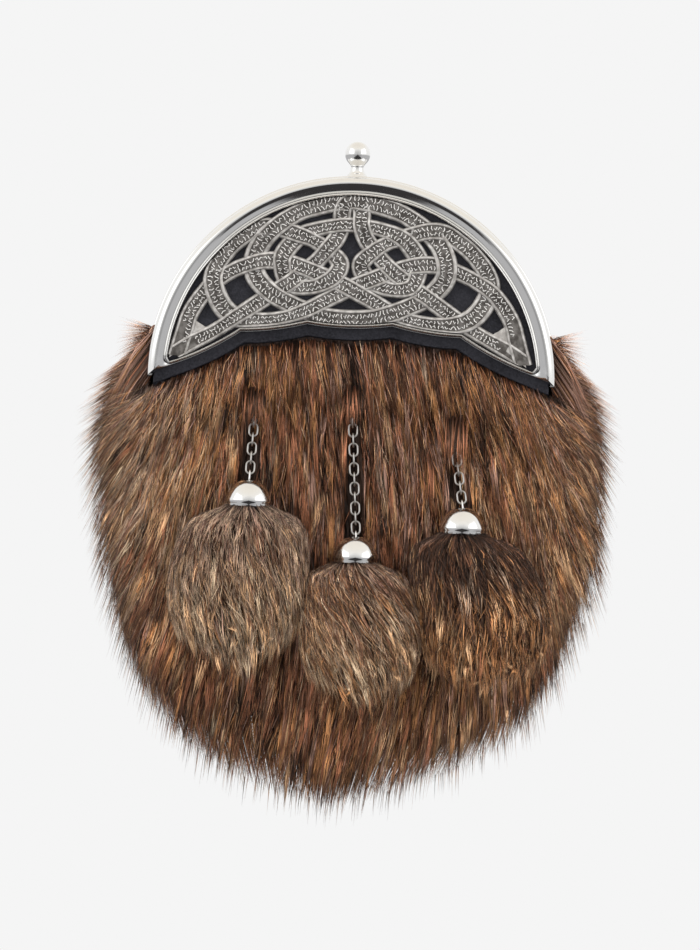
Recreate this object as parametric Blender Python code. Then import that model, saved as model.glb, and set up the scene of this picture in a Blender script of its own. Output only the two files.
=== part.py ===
"""A dress sporran: a fur pouch with a pierced silver cantle, three chains and three fur tassels.

Lengths are in millimetres and angles in degrees; add_object turns them into metres.
X runs to the right as seen from the front, the front faces -Y, and Z is up.
The origin is the middle of the belt strap, behind the pouch, where the sporran hangs.
"""
import math
from collections import namedtuple

import bmesh
import bpy
from mathutils import Matrix, Vector
from mathutils.geometry import intersect_line_line_2d

METRES = 0.001
CLEARANCE = 0.3

# Heights are measured from the centre of the cantle's arch, which is this far below the strap.
ARCH_BELOW_STRAP = 40.0

# Layers from the back of the pouch to its front, as places along Y
BACK_FACE = -3.3
LEATHER = 2.0
POUCH_FRONT = -38.2
TRIM_BACK = -38.5
TRIM_FRONT = -40.5
CAST_BACK = -40.9

# Cantle: a half-round arch with a scalloped lower rim
ARCH_RADIUS = 83.0
WINDOW_RADIUS = 75.4
ARCH_STEPS = 28
RIM_WIDTH = 1.7
RIM_SHIFT = -1.5
BAND_WALL = 1.5
BAND_REAR = -20.5
REAR_BEAD = 1.7
TRIM_RADIUS = 80.6
TRIM_DROP = 4.7
TRIM_END = -3.4

# The lower rim from the right corner to the middle: a row for each corner and each arc's sag
RimRow = namedtuple("RimRow", "x z sag")
RIM = [
    RimRow(73.6, 5.3, 1.2),
    RimRow(45.0, 19.6, 0.9),
    RimRow(17.4, 23.5, 1.35),
]
RIM_ARC_STEPS = 4

# Section of the cast rim, from the window to the outer edge, on the arch and on the lower rim
RimSection = namedtuple("RimSection", "arch_share arch_rise rim_share rim_rise")
RIM_SECTION = [
    RimSection(0.00, 1.6, 0.00, 1.3),
    RimSection(0.10, 2.7, 0.28, 2.8),
    RimSection(0.28, 1.9, 0.62, 2.9),
    RimSection(0.55, 3.9, 0.86, 2.3),
    RimSection(0.80, 5.9, 0.96, 1.6),
    RimSection(0.95, 4.9, 0.99, 1.2),
    RimSection(1.00, 2.9, 1.00, 0.8),
]

# Knotwork: the right half of each strand. The left half is its mirror, with over and under
# swapped, so outer strands run on into inner ones across the middle.
KnotRow = namedtuple("KnotRow", "x z level width")
BAND_RISE = 1.7
WEAVE_RISE = 0.45
BACK_STAGGER = 0.1
KNOT_STEP = 5.5
KNOT_SHIFT = -1.6
STEM_FROM_CORNER = [
    KnotRow(72.0, 9.6, 0.0, 6.0), KnotRow(64.5, 14.3, 0.0, 6.0), KnotRow(54.5, 19.5, 0.0, 5.4),
    KnotRow(46.1, 24.7, -1.0, 6.0), KnotRow(38.4, 29.9, 0.0, 6.4), KnotRow(31.2, 34.9, 1.0, 6.4),
    KnotRow(25.1, 38.9, -1.0, 6.6), KnotRow(21.4, 41.8, 0.0, 6.6), KnotRow(17.6, 44.8, 1.0, 6.6),
    KnotRow(13.2, 48.9, 0.0, 6.2), KnotRow(9.8, 53.0, -1.0, 6.6), KnotRow(6.1, 57.8, 0.0, 6.8),
    KnotRow(4.0, 63.5, 1.0, 6.8), KnotRow(4.0, 68.5, 0.1, 6.8), KnotRow(2.7, 71.9, -0.5, 6.6),
    KnotRow(0.0, 73.2, -1.0, 6.6),
]
RING_FROM_TOP = [
    KnotRow(0.0, 73.2, 1.0, 7.4), KnotRow(7.2, 72.6, 0.3, 7.4), KnotRow(14.4, 70.8, 0.0, 7.4),
    KnotRow(22.0, 67.9, -0.2, 6.8), KnotRow(31.1, 61.5, -1.0, 7.4), KnotRow(36.8, 55.0, 0.2, 8.0),
    KnotRow(39.3, 47.0, 1.0, 8.2), KnotRow(37.8, 40.7, 0.0, 8.1), KnotRow(31.6, 34.6, -1.0, 7.4),
    KnotRow(24.6, 30.9, 0.2, 7.0), KnotRow(17.5, 27.9, 1.0, 7.2), KnotRow(9.1, 25.5, 0.2, 7.4),
    KnotRow(0.0, 24.9, 0.0, 7.4),
]
SIDE_FROM_CORNER = [
    KnotRow(71.6, 7.8, 0.0, 6.8), KnotRow(70.2, 12.6, 0.0, 6.8), KnotRow(68.5, 18.5, 0.0, 6.8),
    KnotRow(66.5, 25.4, 0.0, 6.5), KnotRow(62.2, 32.6, 0.2, 6.3), KnotRow(57.2, 38.1, 1.0, 6.2),
    KnotRow(49.0, 43.1, 0.0, 5.8), KnotRow(39.3, 47.0, -1.0, 6.2), KnotRow(33.6, 48.1, 0.0, 6.6),
    KnotRow(28.2, 47.9, 1.0, 6.8), KnotRow(23.2, 46.9, 0.0, 6.4), KnotRow(17.9, 45.1, -1.0, 6.4),
    KnotRow(13.0, 43.2, 0.0, 6.6), KnotRow(8.0, 41.1, 1.0, 6.6), KnotRow(4.2, 39.6, 0.0, 6.6),
    KnotRow(0.0, 37.6, -1.0, 6.6),
]
LOOP_FROM_BOTTOM = [
    KnotRow(0.0, 37.6, 1.0, 6.4), KnotRow(8.8, 33.0, 0.0, 6.2), KnotRow(17.3, 28.4, -1.0, 6.0),
    KnotRow(26.5, 25.1, 0.0, 5.2), KnotRow(36.8, 23.8, 0.2, 5.6), KnotRow(46.4, 24.7, 1.0, 8.6),
    KnotRow(53.0, 29.6, 0.0, 9.4), KnotRow(57.3, 38.1, -1.0, 9.0), KnotRow(56.3, 45.6, 0.0, 7.4),
    KnotRow(51.0, 53.0, 0.2, 6.8), KnotRow(44.4, 58.5, 0.0, 7.0), KnotRow(38.4, 61.4, 0.2, 6.4),
    KnotRow(31.3, 61.8, 1.0, 6.6), KnotRow(21.0, 58.8, -1.0, 6.4), KnotRow(15.2, 56.7, 0.0, 5.6),
    KnotRow(9.7, 53.2, 1.0, 6.2), KnotRow(4.2, 47.3, 0.0, 7.0), KnotRow(8.0, 41.1, -1.0, 6.8),
    KnotRow(16.6, 37.7, 0.0, 5.8), KnotRow(25.2, 39.1, 1.0, 6.4), KnotRow(28.0, 47.9, -1.0, 7.0),
    KnotRow(26.0, 53.0, 0.0, 7.4), KnotRow(20.8, 58.5, 1.0, 6.8), KnotRow(13.0, 61.7, 0.0, 5.6),
    KnotRow(4.0, 63.4, -1.0, 5.6), KnotRow(0.0, 63.5, 0.0, 5.6),
]

# Leather body of the pouch: half-widths below the arch, from its shoulder to the bottom
BodyRow = namedtuple("BodyRow", "x z")
BODY = [
    BodyRow(80.0, 0.0), BodyRow(84.0, -20.0), BodyRow(87.0, -45.0), BodyRow(85.0, -75.0),
    BodyRow(76.0, -100.0), BodyRow(58.0, -119.0), BodyRow(32.0, -131.0), BodyRow(0.0, -135.0),
]
BODY_RADIUS = 80.0
SHOULDER_HEIGHT = 20.0
SIDE_STATIONS = 30
TOP_STATIONS = 10
SIDE_DEPTH = -30.0
MOUTH_HALF_WIDTH = 50.0
MOUTH_HALF_HEIGHT = 11.0
MOUTH_HEIGHT = 2.0

# Fur coat: the ends of its longest locks, from the right shoulder to the bottom
FurRow = namedtuple("FurRow", "x z")
FUR = [
    FurRow(86.0, 20.0), FurRow(93.5, 9.0), FurRow(101.5, -3.0), FurRow(106.0, -16.0),
    FurRow(107.8, -34.0), FurRow(106.5, -56.0), FurRow(104.5, -82.0), FurRow(96.5, -105.0),
    FurRow(88.0, -125.0), FurRow(70.0, -146.0), FurRow(44.0, -162.5), FurRow(20.0, -169.5),
    FurRow(0.0, -172.0),
]
SHOULDER_COLUMNS = 6
FUR_TIERS = 4
LOCK_RELIEF = 1.3
TIER_LIFT = 1.9
SIDE_FRINGE = 4.0
BOTTOM_FRINGE = 12.0
FUR_REAR = -4.6
FUR_TIP_DEPTH = -21.0
SHOULDER_TIP_DEPTH = -13.0
FUR_CREST = -45.4
FUR_GAP = 0.8

# Top edge of the coat beside the cantle, from the back of the shoulder round to the front
ShoulderRow = namedtuple("ShoulderRow", "height depth")
SHOULDER = [
    ShoulderRow(18.0, -8.0), ShoulderRow(14.5, -11.5), ShoulderRow(8.5, -14.5),
    ShoulderRow(1.5, -16.5), ShoulderRow(-3.8, -25.5), ShoulderRow(-4.6, -36.0),
]

# Chains: the cap's eye at the lower end, the lean up to the staple, and the number of links
LINK_LENGTH = 6.1
LINK_WIDTH = 4.2
LINK_WIRE = 0.45
LINK_PITCH = 4.0
LINK_SIDES = 10
WIRE_SIDES = 5
TasselRow = namedtuple("TasselRow", "name eye_x eye_z lean_x lean_y links fur_x half_width drop")
TASSELS = [
    TasselRow("left", -40.0, -40.2, 0.050, 0.310, 5, -43.7, 26.0, 72.0),
    TasselRow("middle", 3.9, -63.6, -0.058, 0.155, 11, 7.6, 22.0, 61.0),
    TasselRow("right", 46.8, -49.8, -0.150, 0.310, 5, 56.8, 25.6, 71.0),
]
CAP_DEPTH = -59.0

# Turned profiles, as radius and height
Turn = namedtuple("Turn", "radius z")
CAP_PROFILE = [
    Turn(1.8, -1.6), Turn(3.6, -2.5), Turn(6.3, -4.0), Turn(8.3, -6.6), Turn(9.3, -9.6),
    Turn(9.7, -10.7), Turn(9.1, -11.6), Turn(8.3, -11.4), Turn(7.6, -6.8), Turn(4.6, -4.6),
]
CAP_SIDES = 12
CAP_RIM = -11.6
FINIAL_PROFILE = [
    Turn(4.2, 83.8), Turn(4.4, 84.6), Turn(2.7, 85.2), Turn(2.7, 86.0), Turn(4.0, 86.6),
    Turn(4.0, 87.3), Turn(2.6, 87.9), Turn(3.9, 89.3), Turn(4.9, 91.2), Turn(5.1, 92.9),
    Turn(4.6, 95.1), Turn(3.2, 97.0), Turn(1.2, 97.9),
]
FINIAL_SIDES = 12
FINIAL_DEPTH = -31.0
STAPLE_PROFILE = [Turn(3.6, 0.0), Turn(3.6, 1.0), Turn(1.2, 1.6)]
STAPLE_SIDES = 8
STAPLE_HOLE = 4.6

# Tassel fur: half-widths as shares of the tassel's own, half-depths, and share of the drop
LockRow = namedtuple("LockRow", "width_share depth fall")
TASSEL_HEAD = 7.0
TASSEL_FUR = [
    LockRow(0.60, 8.8, 0.03), LockRow(0.84, 10.5, 0.12), LockRow(0.96, 12.4, 0.30),
    LockRow(1.00, 13.2, 0.55), LockRow(0.96, 12.2, 0.78), LockRow(0.78, 9.5, 1.00),
]
TASSEL_SIDES = 18
TASSEL_BACK = -49.4
TASSEL_RELIEF = 0.9
TASSEL_TIP_CUT = 7.0

# Back of the pouch: flap, press stud and two belt loops
FLAP_TOP = 18.5
FLAP_HALF_WIDTH = 56.0
FLAP_SIDE_DROP = 30.0
FLAP_DROP = 62.0
STUD_DROP = 52.0
STUD_PROFILE = [Turn(4.6, 0.0), Turn(5.0, 0.7), Turn(4.4, 1.6), Turn(2.4, 2.2)]
STUD_SIDES = 12
LOOP_HALF_SPAN = 40.0
LOOP_WIDTH = 20.0
LOOP_HALF_HEIGHT = 15.0
LOOP_FOOT = 5.0
LOOP_LEATHER = 2.2
LOOP_CHAMFER = 1.4
STRAP_ROOM = 2.2

# Colour, roughness and metallic value of each material
Finish = namedtuple("Finish", "name colour roughness metallic")
CHROME = Finish("polished_chrome", (0.78, 0.78, 0.77), 0.12, 1.0)
SILVER = Finish("antique_silver", (0.55, 0.52, 0.49), 0.34, 1.0)
BLACK_LEATHER = Finish("black_leather", (0.022, 0.022, 0.024), 0.55, 0.0)
FUR_COAT = Finish("fur_coat", (0.16, 0.075, 0.035), 0.75, 0.0)
FUR_LIGHT = Finish("tassel_fur_light", (0.24, 0.155, 0.105), 0.75, 0.0)
FUR_BROWN = Finish("tassel_fur_brown", (0.19, 0.10, 0.055), 0.75, 0.0)
FUR_DARK = Finish("tassel_fur_dark", (0.085, 0.045, 0.028), 0.75, 0.0)
TASSEL_FINISH = {"left": FUR_LIGHT, "middle": FUR_BROWN, "right": FUR_DARK}


def clear_scene():
    """Remove every object that the file starts with."""
    for obj in list(bpy.data.objects):
        bpy.data.objects.remove(obj, do_unlink=True)


def material_of(finish):
    """Return the Principled material of a finish, made once."""
    found = bpy.data.materials.get(finish.name)
    if found:
        return found
    made = bpy.data.materials.new(finish.name)
    made.use_nodes = True
    shader = made.node_tree.nodes["Principled BSDF"]
    shader.inputs["Base Color"].default_value = (*finish.colour, 1.0)
    shader.inputs["Roughness"].default_value = finish.roughness
    shader.inputs["Metallic"].default_value = finish.metallic
    return made


def add_object(name, bm, finish, smooth_angle=35.0):
    """Turn a mesh in millimetres, measured from the arch's centre, into an object in metres."""
    bmesh.ops.recalc_face_normals(bm, faces=bm.faces)
    place = Matrix.Translation((0.0, 0.0, -ARCH_BELOW_STRAP * METRES)) @ Matrix.Scale(METRES, 4)
    bmesh.ops.transform(bm, matrix=place, verts=bm.verts)
    mesh = bpy.data.meshes.new(name)
    bm.to_mesh(mesh)
    bm.free()
    mesh.materials.append(material_of(finish))
    mesh.shade_smooth()
    mesh.set_sharp_from_angle(angle=math.radians(smooth_angle))
    obj = bpy.data.objects.new(name, mesh)
    bpy.context.collection.objects.link(obj)
    return obj


def add_cutter(name, bm):
    """Add an object that only shapes another one."""
    cutter = add_object(name, bm, BLACK_LEATHER)
    cutter.hide_render = True
    cutter.display_type = "WIRE"
    return cutter


def boolean(obj, operand, operation, self_crossing=False):
    """Join, cut or trim an object by another with the exact solver."""
    modifier = obj.modifiers.new(operation.lower(), "BOOLEAN")
    modifier.operation = operation
    modifier.solver = "EXACT"
    modifier.object = operand
    modifier.use_self = self_crossing


def loft(bm, rings):
    """Skin a row of equal rings and close both ends."""
    rows = [[bm.verts.new(point) for point in ring] for ring in rings]
    sides = len(rows[0])
    for first, second in zip(rows, rows[1:]):
        for i in range(sides):
            j = (i + 1) % sides
            bm.faces.new((first[i], first[j], second[j], second[i]))
    bm.faces.new(reversed(rows[0]))
    bm.faces.new(rows[-1])


def hoop(bm, rings):
    """Skin a row of equal rings into a closed hoop."""
    rows = [[bm.verts.new(point) for point in ring] for ring in rings]
    sides = len(rows[0])
    for k, first in enumerate(rows):
        second = rows[(k + 1) % len(rows)]
        for i in range(sides):
            j = (i + 1) % sides
            bm.faces.new((first[i], first[j], second[j], second[i]))


def prism(bm, outline, back, front):
    """Raise a flat outline of (x, z) points between two places along Y."""
    loft(bm, [[Vector((x, back, z)) for x, z in outline], [Vector((x, front, z)) for x, z in outline]])


def turned(bm, profile, sides, centre, axis="Z"):
    """Turn a profile round the Z axis, or round -Y with its heights as depths."""
    rings = []
    for row in profile:
        ring = []
        for i in range(sides):
            angle = 2.0 * math.pi * (i + 0.5) / sides
            across = row.radius * math.cos(angle)
            along = row.radius * math.sin(angle)
            offset = (across, along, row.z) if axis == "Z" else (across, -row.z, along)
            ring.append(Vector(centre) + Vector(offset))
        rings.append(ring)
    loft(bm, rings)


def blend(a, b, share):
    """Return the value that lies at a share of the way from a to b."""
    return a + (b - a) * share


def spline_point(before, start, end, after, share):
    """Return a point of the smooth curve that passes through start and end."""
    cube = share ** 3
    square = share ** 2
    return tuple(
        0.5 * (2.0 * q + (r - p) * share + (2.0 * p - 5.0 * q + 4.0 * r - s) * square
               + (3.0 * q - p - 3.0 * r + s) * cube)
        for p, q, r, s in zip(before, start, end, after)
    )


def smooth_path(rows, spacing):
    """Return points of a smooth open curve through the rows, about spacing apart."""
    first = tuple(2.0 * a - b for a, b in zip(rows[0], rows[1]))
    last = tuple(2.0 * a - b for a, b in zip(rows[-1], rows[-2]))
    knots = [first, *map(tuple, rows), last]
    points = []
    for k in range(1, len(knots) - 2):
        length = math.dist(knots[k][:2], knots[k + 1][:2])
        steps = max(1, round(length / spacing))
        points += [spline_point(*knots[k - 1:k + 3], i / steps) for i in range(steps)]
    return points + [tuple(rows[-1])]


def resampled(points, count):
    """Return count + 1 points at equal distances along a line of points."""
    lengths = [0.0]
    for a, b in zip(points, points[1:]):
        lengths.append(lengths[-1] + math.dist(a, b))
    result = []
    k = 0
    for i in range(count + 1):
        target = lengths[-1] * i / count
        while k < len(points) - 2 and lengths[k + 1] < target:
            k += 1
        share = (target - lengths[k]) / (lengths[k + 1] - lengths[k])
        result.append(tuple(blend(a, b, share) for a, b in zip(points[k], points[k + 1])))
    return result


def both_sides(right_half):
    """Return a line that runs from the left end through the middle to the right end."""
    return [(-x, z) for x, z in right_half] + [(x, z) for x, z in reversed(right_half[:-1])]


def rim_line():
    """Return the middle line of the cantle's lower rim, from its left corner to its right one."""
    corners = [*RIM, RimRow(-RIM[-1].x, RIM[-1].z, 0.0)]
    line = []
    for start, end in zip(corners, corners[1:]):
        for i in range(RIM_ARC_STEPS):
            share = i / RIM_ARC_STEPS
            sag = start.sag * 4.0 * share * (1.0 - share)
            line.append((blend(start.x, end.x, share), blend(start.z, end.z, share) - sag))
    middle = (len(RIM) - 1) * RIM_ARC_STEPS
    half = line[:middle] + line[middle:middle + RIM_ARC_STEPS // 2]
    half.append((0.0, RIM[-1].z - RIM[-1].sag))
    return [(x + RIM_SHIFT * (1.0 - abs(x) / ARCH_RADIUS), z) for x, z in both_sides(half)]


def offset_line(line, distance):
    """Shift an open line of (x, z) points down by a distance square to itself."""
    shifted = []
    for i, (x, z) in enumerate(line):
        ahead = Vector(line[min(i + 1, len(line) - 1)])
        behind = Vector(line[max(i - 1, 0)])
        along = (ahead - behind).normalized()
        shifted.append((x + along.y * distance, z - along.x * distance))
    return shifted


def arch_points(radius, start, end, steps):
    """Return points of an arch from one angle to another, anticlockwise from +X."""
    angles = [math.radians(blend(start, end, i / steps)) for i in range(steps + 1)]
    return [(radius * math.cos(a), radius * math.sin(a)) for a in angles]


def window_outline(inset):
    """Return the outline of the cantle's window, shrunk by an inset."""
    lower = offset_line(rim_line(), -RIM_WIDTH / 2.0 - inset)
    radius = WINDOW_RADIUS - inset
    start = math.degrees(math.atan2(lower[-1][1], lower[-1][0]))
    end = math.degrees(math.atan2(lower[0][1], lower[0][0]))
    return lower + arch_points(radius, start + 1.2, end - 1.2, ARCH_STEPS)


def rim_stations():
    """Return pairs of inner and outer points round the cast rim, with the share of lower rim."""
    lower = rim_line()
    inner = offset_line(lower, -RIM_WIDTH / 2.0)
    outer = offset_line(lower, RIM_WIDTH / 2.0)
    stations = [(a, b, 1.0) for a, b in zip(inner, outer)]
    start = math.degrees(math.atan2(inner[-1][1], inner[-1][0]))
    end = math.degrees(math.atan2(inner[0][1], inner[0][0]))
    window = arch_points(WINDOW_RADIUS, start + 1.2, end - 1.2, ARCH_STEPS)
    arch = arch_points(ARCH_RADIUS, 0.0, 180.0, ARCH_STEPS)
    stations += [(a, b, 0.0) for a, b in zip(window, arch)]
    return stations


def cast_rim(bm):
    """Model the cast front of the cantle: a hollow arch section that ends in the lower rim."""
    rings = []
    for inner, outer, lower in rim_stations():
        ring = [Vector((outer[0], CAST_BACK, outer[1])), Vector((inner[0], CAST_BACK, inner[1]))]
        for row in RIM_SECTION:
            share = blend(row.arch_share, row.rim_share, lower)
            rise = blend(row.arch_rise, row.rim_rise, lower)
            x = blend(inner[0], outer[0], share)
            z = blend(inner[1], outer[1], share)
            ring.append(Vector((x, CAST_BACK - rise, z)))
        rings.append(ring)
    hoop(bm, rings)


def arch_band(bm):
    """Model the deep band of the arch, with a rolled bead along its rear edge."""
    outer = ARCH_RADIUS - 0.2
    inner = outer - BAND_WALL
    bead = REAR_BEAD
    section = [
        (inner, CAST_BACK - 0.8), (outer, CAST_BACK - 0.8), (outer + 0.3, BAND_REAR - bead * 1.3),
        (outer + 1.1, BAND_REAR - bead), (outer + 1.4, BAND_REAR - bead * 0.5),
        (outer + 1.0, BAND_REAR), (inner + 0.2, BAND_REAR),
    ]
    rings = []
    for i in range(ARCH_STEPS + 1):
        angle = math.pi * i / ARCH_STEPS
        ring = [Vector((r * math.cos(angle), y, r * math.sin(angle))) for r, y in section]
        rings.append(ring)
    loft(bm, rings)


def build_cantle_frame():
    """Build the polished arch of the cantle with its band and its lower rim."""
    rim = bmesh.new()
    cast_rim(rim)
    frame = add_object("cantle_frame", rim, CHROME)
    band = bmesh.new()
    arch_band(band)
    boolean(frame, add_cutter("band_shape", band), "UNION")


def whole_strand(outer, inner):
    """Join an outer strand, an inner one and their mirrors, from the left corner to the right."""
    left_outer, left_inner = (
        [row._replace(x=-row.x, level=-row.level) for row in rows] for rows in (outer, inner)
    )
    return left_outer + inner[1:] + left_inner[-2::-1] + outer[-2::-1]


def knot_ribbon(bm, rows, back):
    """Model a strand of the knotwork as a flat band that rises and dips at its crossings."""
    path = smooth_path(rows, KNOT_STEP)
    rings = []
    for i, (x, z, level, width) in enumerate(path):
        ahead = path[min(i + 1, len(path) - 1)]
        behind = path[max(i - 1, 0)]
        along = Vector((ahead[0] - behind[0], ahead[1] - behind[1])).normalized()
        across = Vector((-along.y, along.x)) * width / 2.0
        front = CAST_BACK - BAND_RISE - WEAVE_RISE * level
        ring = []
        for reach, depth in ((-1.0, back), (1.0, back), (0.93, front), (-0.93, front)):
            ring.append(Vector((x + across.x * reach + KNOT_SHIFT, depth, z + across.y * reach)))
        rings.append(ring)
    loft(bm, rings)


def build_knot_plate():
    """Build the pierced knotwork that fills the cantle's window."""
    first = bmesh.new()
    knot_ribbon(first, whole_strand(STEM_FROM_CORNER, RING_FROM_TOP), CAST_BACK)
    knot = add_object("knot_plate", first, SILVER)
    second = bmesh.new()
    loop = whole_strand(SIDE_FROM_CORNER, LOOP_FROM_BOTTOM)
    knot_ribbon(second, loop, CAST_BACK - BACK_STAGGER)
    boolean(knot, add_cutter("second_strand", second), "UNION", self_crossing=True)
    window = bmesh.new()
    prism(window, window_outline(CLEARANCE), CAST_BACK + 1.0, CAST_BACK - 6.0)
    boolean(knot, add_cutter("window_shape", window), "INTERSECT")
    triangulate = knot.modifiers.new("triangulate", "TRIANGULATE")
    triangulate.ngon_method = "BEAUTY"


def build_cantle_leather():
    """Build the leather behind the knotwork, which shows as a trim below the lower rim."""
    bm = bmesh.new()
    lower = offset_line(rim_line(), RIM_WIDTH / 2.0 + TRIM_DROP)
    lower[0] = (-TRIM_RADIUS, TRIM_END)
    lower[-1] = (TRIM_RADIUS, TRIM_END)
    prism(bm, lower + arch_points(TRIM_RADIUS, 0.0, 180.0, ARCH_STEPS), TRIM_BACK, TRIM_FRONT)
    add_object("cantle_leather", bm, BLACK_LEATHER)


def build_ball_finial():
    """Build the turned ball that stands on top of the arch."""
    bm = bmesh.new()
    turned(bm, FINIAL_PROFILE, FINIAL_SIDES, (0.0, FINIAL_DEPTH, 0.0))
    add_object("ball_finial", bm, CHROME)


def side_line(count):
    """Return count + 1 points of the pouch's outline, from shoulder to shoulder by the bottom."""
    shoulder = math.degrees(math.asin(SHOULDER_HEIGHT / BODY_RADIUS))
    right = arch_points(BODY_RADIUS, shoulder, 0.0, 4)[:-1]
    right += smooth_path(BODY, 6.0)
    return resampled(both_sides(right), count)


def body_outline(inset):
    """Return the pouch's whole outline, shrunk by an inset."""
    shoulder = math.degrees(math.asin(SHOULDER_HEIGHT / BODY_RADIUS))
    top = arch_points(BODY_RADIUS, shoulder, 180.0 - shoulder, TOP_STATIONS)[1:-1]
    line = side_line(SIDE_STATIONS) + top
    shrunk = []
    for i, (x, z) in enumerate(line):
        ahead = Vector(line[(i + 1) % len(line)])
        along = (ahead - Vector(line[i - 1])).normalized()
        shrunk.append((x - along.y * inset, z + along.x * inset))
    return shrunk


def mouth_outline(outline):
    """Return the rounded mouth in the back of the pouch, a point for each point of an outline."""
    points = []
    for x, z in outline:
        angle = math.atan2(z - MOUTH_HEIGHT, x)
        wide = abs(math.cos(angle) / MOUTH_HALF_WIDTH) ** 6
        tall = abs(math.sin(angle) / MOUTH_HALF_HEIGHT) ** 6
        radius = (wide + tall) ** (-1.0 / 6.0)
        points.append((radius * math.cos(angle), MOUTH_HEIGHT + radius * math.sin(angle)))
    return points


def build_pouch_wall():
    """Build the hollow leather pouch, open at the mouth in its back."""
    edge = body_outline(0.0)
    mouth = mouth_outline(edge)
    layers = [
        (body_outline(8.0), POUCH_FRONT), (body_outline(3.0), POUCH_FRONT + 2.7),
        (edge, SIDE_DEPTH), (edge, BACK_FACE), (mouth, BACK_FACE),
        (mouth, BACK_FACE - LEATHER), (body_outline(LEATHER), BACK_FACE - LEATHER),
        (body_outline(LEATHER), SIDE_DEPTH + 0.6),
        (body_outline(LEATHER + 2.6), POUCH_FRONT + LEATHER + 2.0),
        (body_outline(LEATHER + 7.4), POUCH_FRONT + LEATHER),
    ]
    bm = bmesh.new()
    loft(bm, [[Vector((x, y, z)) for x, z in outline] for outline, y in layers])
    add_object("pouch_wall", bm, BLACK_LEATHER)


def crossing(start, end):
    """Return where a line from inside the pouch's outline crosses its side, or its start."""
    line = side_line(SIDE_STATIONS)
    for a, b in zip(line, line[1:]):
        found = intersect_line_line_2d(Vector(start), Vector(end), Vector(a), Vector(b))
        if found:
            return found
    return Vector(start)


def coat_top(column, columns):
    """Return the root of a column of fur: beside the arch, or below the leather trim."""
    from_end = min(column, columns - column)
    if from_end < SHOULDER_COLUMNS:
        row = SHOULDER[from_end]
        side = -1.0 if column < columns / 2.0 else 1.0
        x = crossing((0.0, row.height), (2.0 * side * BODY_RADIUS, row.height)).x
        return Vector((x + side * FUR_GAP, row.depth, row.height))
    trim = offset_line(rim_line(), RIM_WIDTH / 2.0 + TRIM_DROP + 0.5)
    trim[0] = (-TRIM_RADIUS, TRIM_END - 1.0)
    trim[-1] = (TRIM_RADIUS, TRIM_END - 1.0)
    x, z = resampled(trim, columns - 2 * SHOULDER_COLUMNS)[column - SHOULDER_COLUMNS]
    return Vector((x, TRIM_BACK - 0.2, z - 0.4))


def coat_face(column, columns, root, tip):
    """Return the outer points of a column of fur: tiers of locks that overlap like tiles."""
    front = min(1.0, max(0.0, (min(column, columns - column) - 3.0) / 7.0))
    crest = blend(root.y, FUR_CREST, front)
    leaving = crossing((root.x, root.z), (tip.x, tip.z))
    edge = 0.92 * (leaving - Vector((root.x, root.z))).length / (tip - root).xz.length
    points = []
    for tier in range(FUR_TIERS):
        ridge = 1.0 if (column + tier) % 2 == 0 else -1.0
        for k in range(3):
            share = 0.97 * (tier + 0.10 + 0.40 * k + 0.08 * ridge) / FUR_TIERS
            over = max(0.0, (share - edge) / (1.0 - edge)) ** 1.7
            lift = (LOCK_RELIEF * ridge * (0.4 + 0.3 * k) + TIER_LIFT * k / 2.0) * max(0.3, front)
            depth = blend(crest - lift * (1.0 - over), tip.y, over)
            depth = blend(root.y, depth, min(1.0, share / 0.15) ** 0.6)
            points.append(Vector((blend(root.x, tip.x, share), depth, blend(root.z, tip.z, share))))
    return points


def coat_lining(column, columns, root):
    """Return the inner points of a column of fur, which hug the pouch from its back to the root."""
    line = side_line(columns)
    place = Vector(line[column])
    along = Vector(line[min(column + 1, columns)]) - Vector(line[max(column - 1, 0)])
    outward = Vector((along.y, -along.x)).normalized()
    from_end = min(column, columns - column)
    gap = FUR_GAP * (2.8 if abs(from_end - SHOULDER_COLUMNS) < 2 else 1.0)
    hem = place + outward * gap
    points = [Vector((hem.x, FUR_REAR, hem.y))]
    if from_end < SHOULDER_COLUMNS - 1:
        return points + [points[0].lerp(root, k / 4.0) for k in range(1, 4)]
    last = (min(8.0, 4.2 + 1.9 * (from_end - SHOULDER_COLUMNS)), POUCH_FRONT)
    steps = [(0.0, 0.6 * SIDE_DEPTH), (0.0, 0.8 * SIDE_DEPTH), (0.0, SIDE_DEPTH)]
    if from_end >= SHOULDER_COLUMNS:
        steps = [(0.0, SIDE_DEPTH), (3.0, POUCH_FRONT + 2.7), last]
    for inset, depth in steps:
        point = place + outward * (gap - inset)
        points.append(Vector((point.x, depth - gap, point.y)))
    return points


def build_pouch_fur():
    """Build the fur coat: tiers of pointed locks on a backing that hugs the pouch."""
    columns = 2 * SIDE_STATIONS
    ends = resampled(both_sides(smooth_path(FUR, 6.0)), columns)
    rings = []
    for column, (x, z) in enumerate(ends):
        root = coat_top(column, columns)
        from_end = min(column, columns - column)
        tip = Vector((x, blend(SHOULDER_TIP_DEPTH, FUR_TIP_DEPTH, min(1.0, from_end / 6.0)), z))
        lining = coat_lining(column, columns, root)
        if column % 2 == 1:
            length = tip - Vector((root.x, tip.y, root.z))
            cut = blend(SIDE_FRINGE, BOTTOM_FRINGE, (from_end / SIDE_STATIONS) ** 2)
            tip -= length.normalized() * min(cut, 0.3 * length.length)
        under = tip.lerp(lining[0], 0.55)
        rings.append([root, *coat_face(column, columns, root, tip), tip, under, *lining])
    bm = bmesh.new()
    loft(bm, rings)
    coat = add_object("pouch_fur", bm, FUR_COAT)
    holes = bmesh.new()
    for row in TASSELS:
        place = chain_point(row, row.links + 1)
        hole = [Turn(STAPLE_HOLE, 0.0), Turn(STAPLE_HOLE, 20.0)]
        turned(holes, hole, STAPLE_SIDES, (place.x, POUCH_FRONT + 1.0, place.z), axis="Y")
    boolean(coat, add_cutter("staple_holes", holes), "DIFFERENCE")


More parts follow.
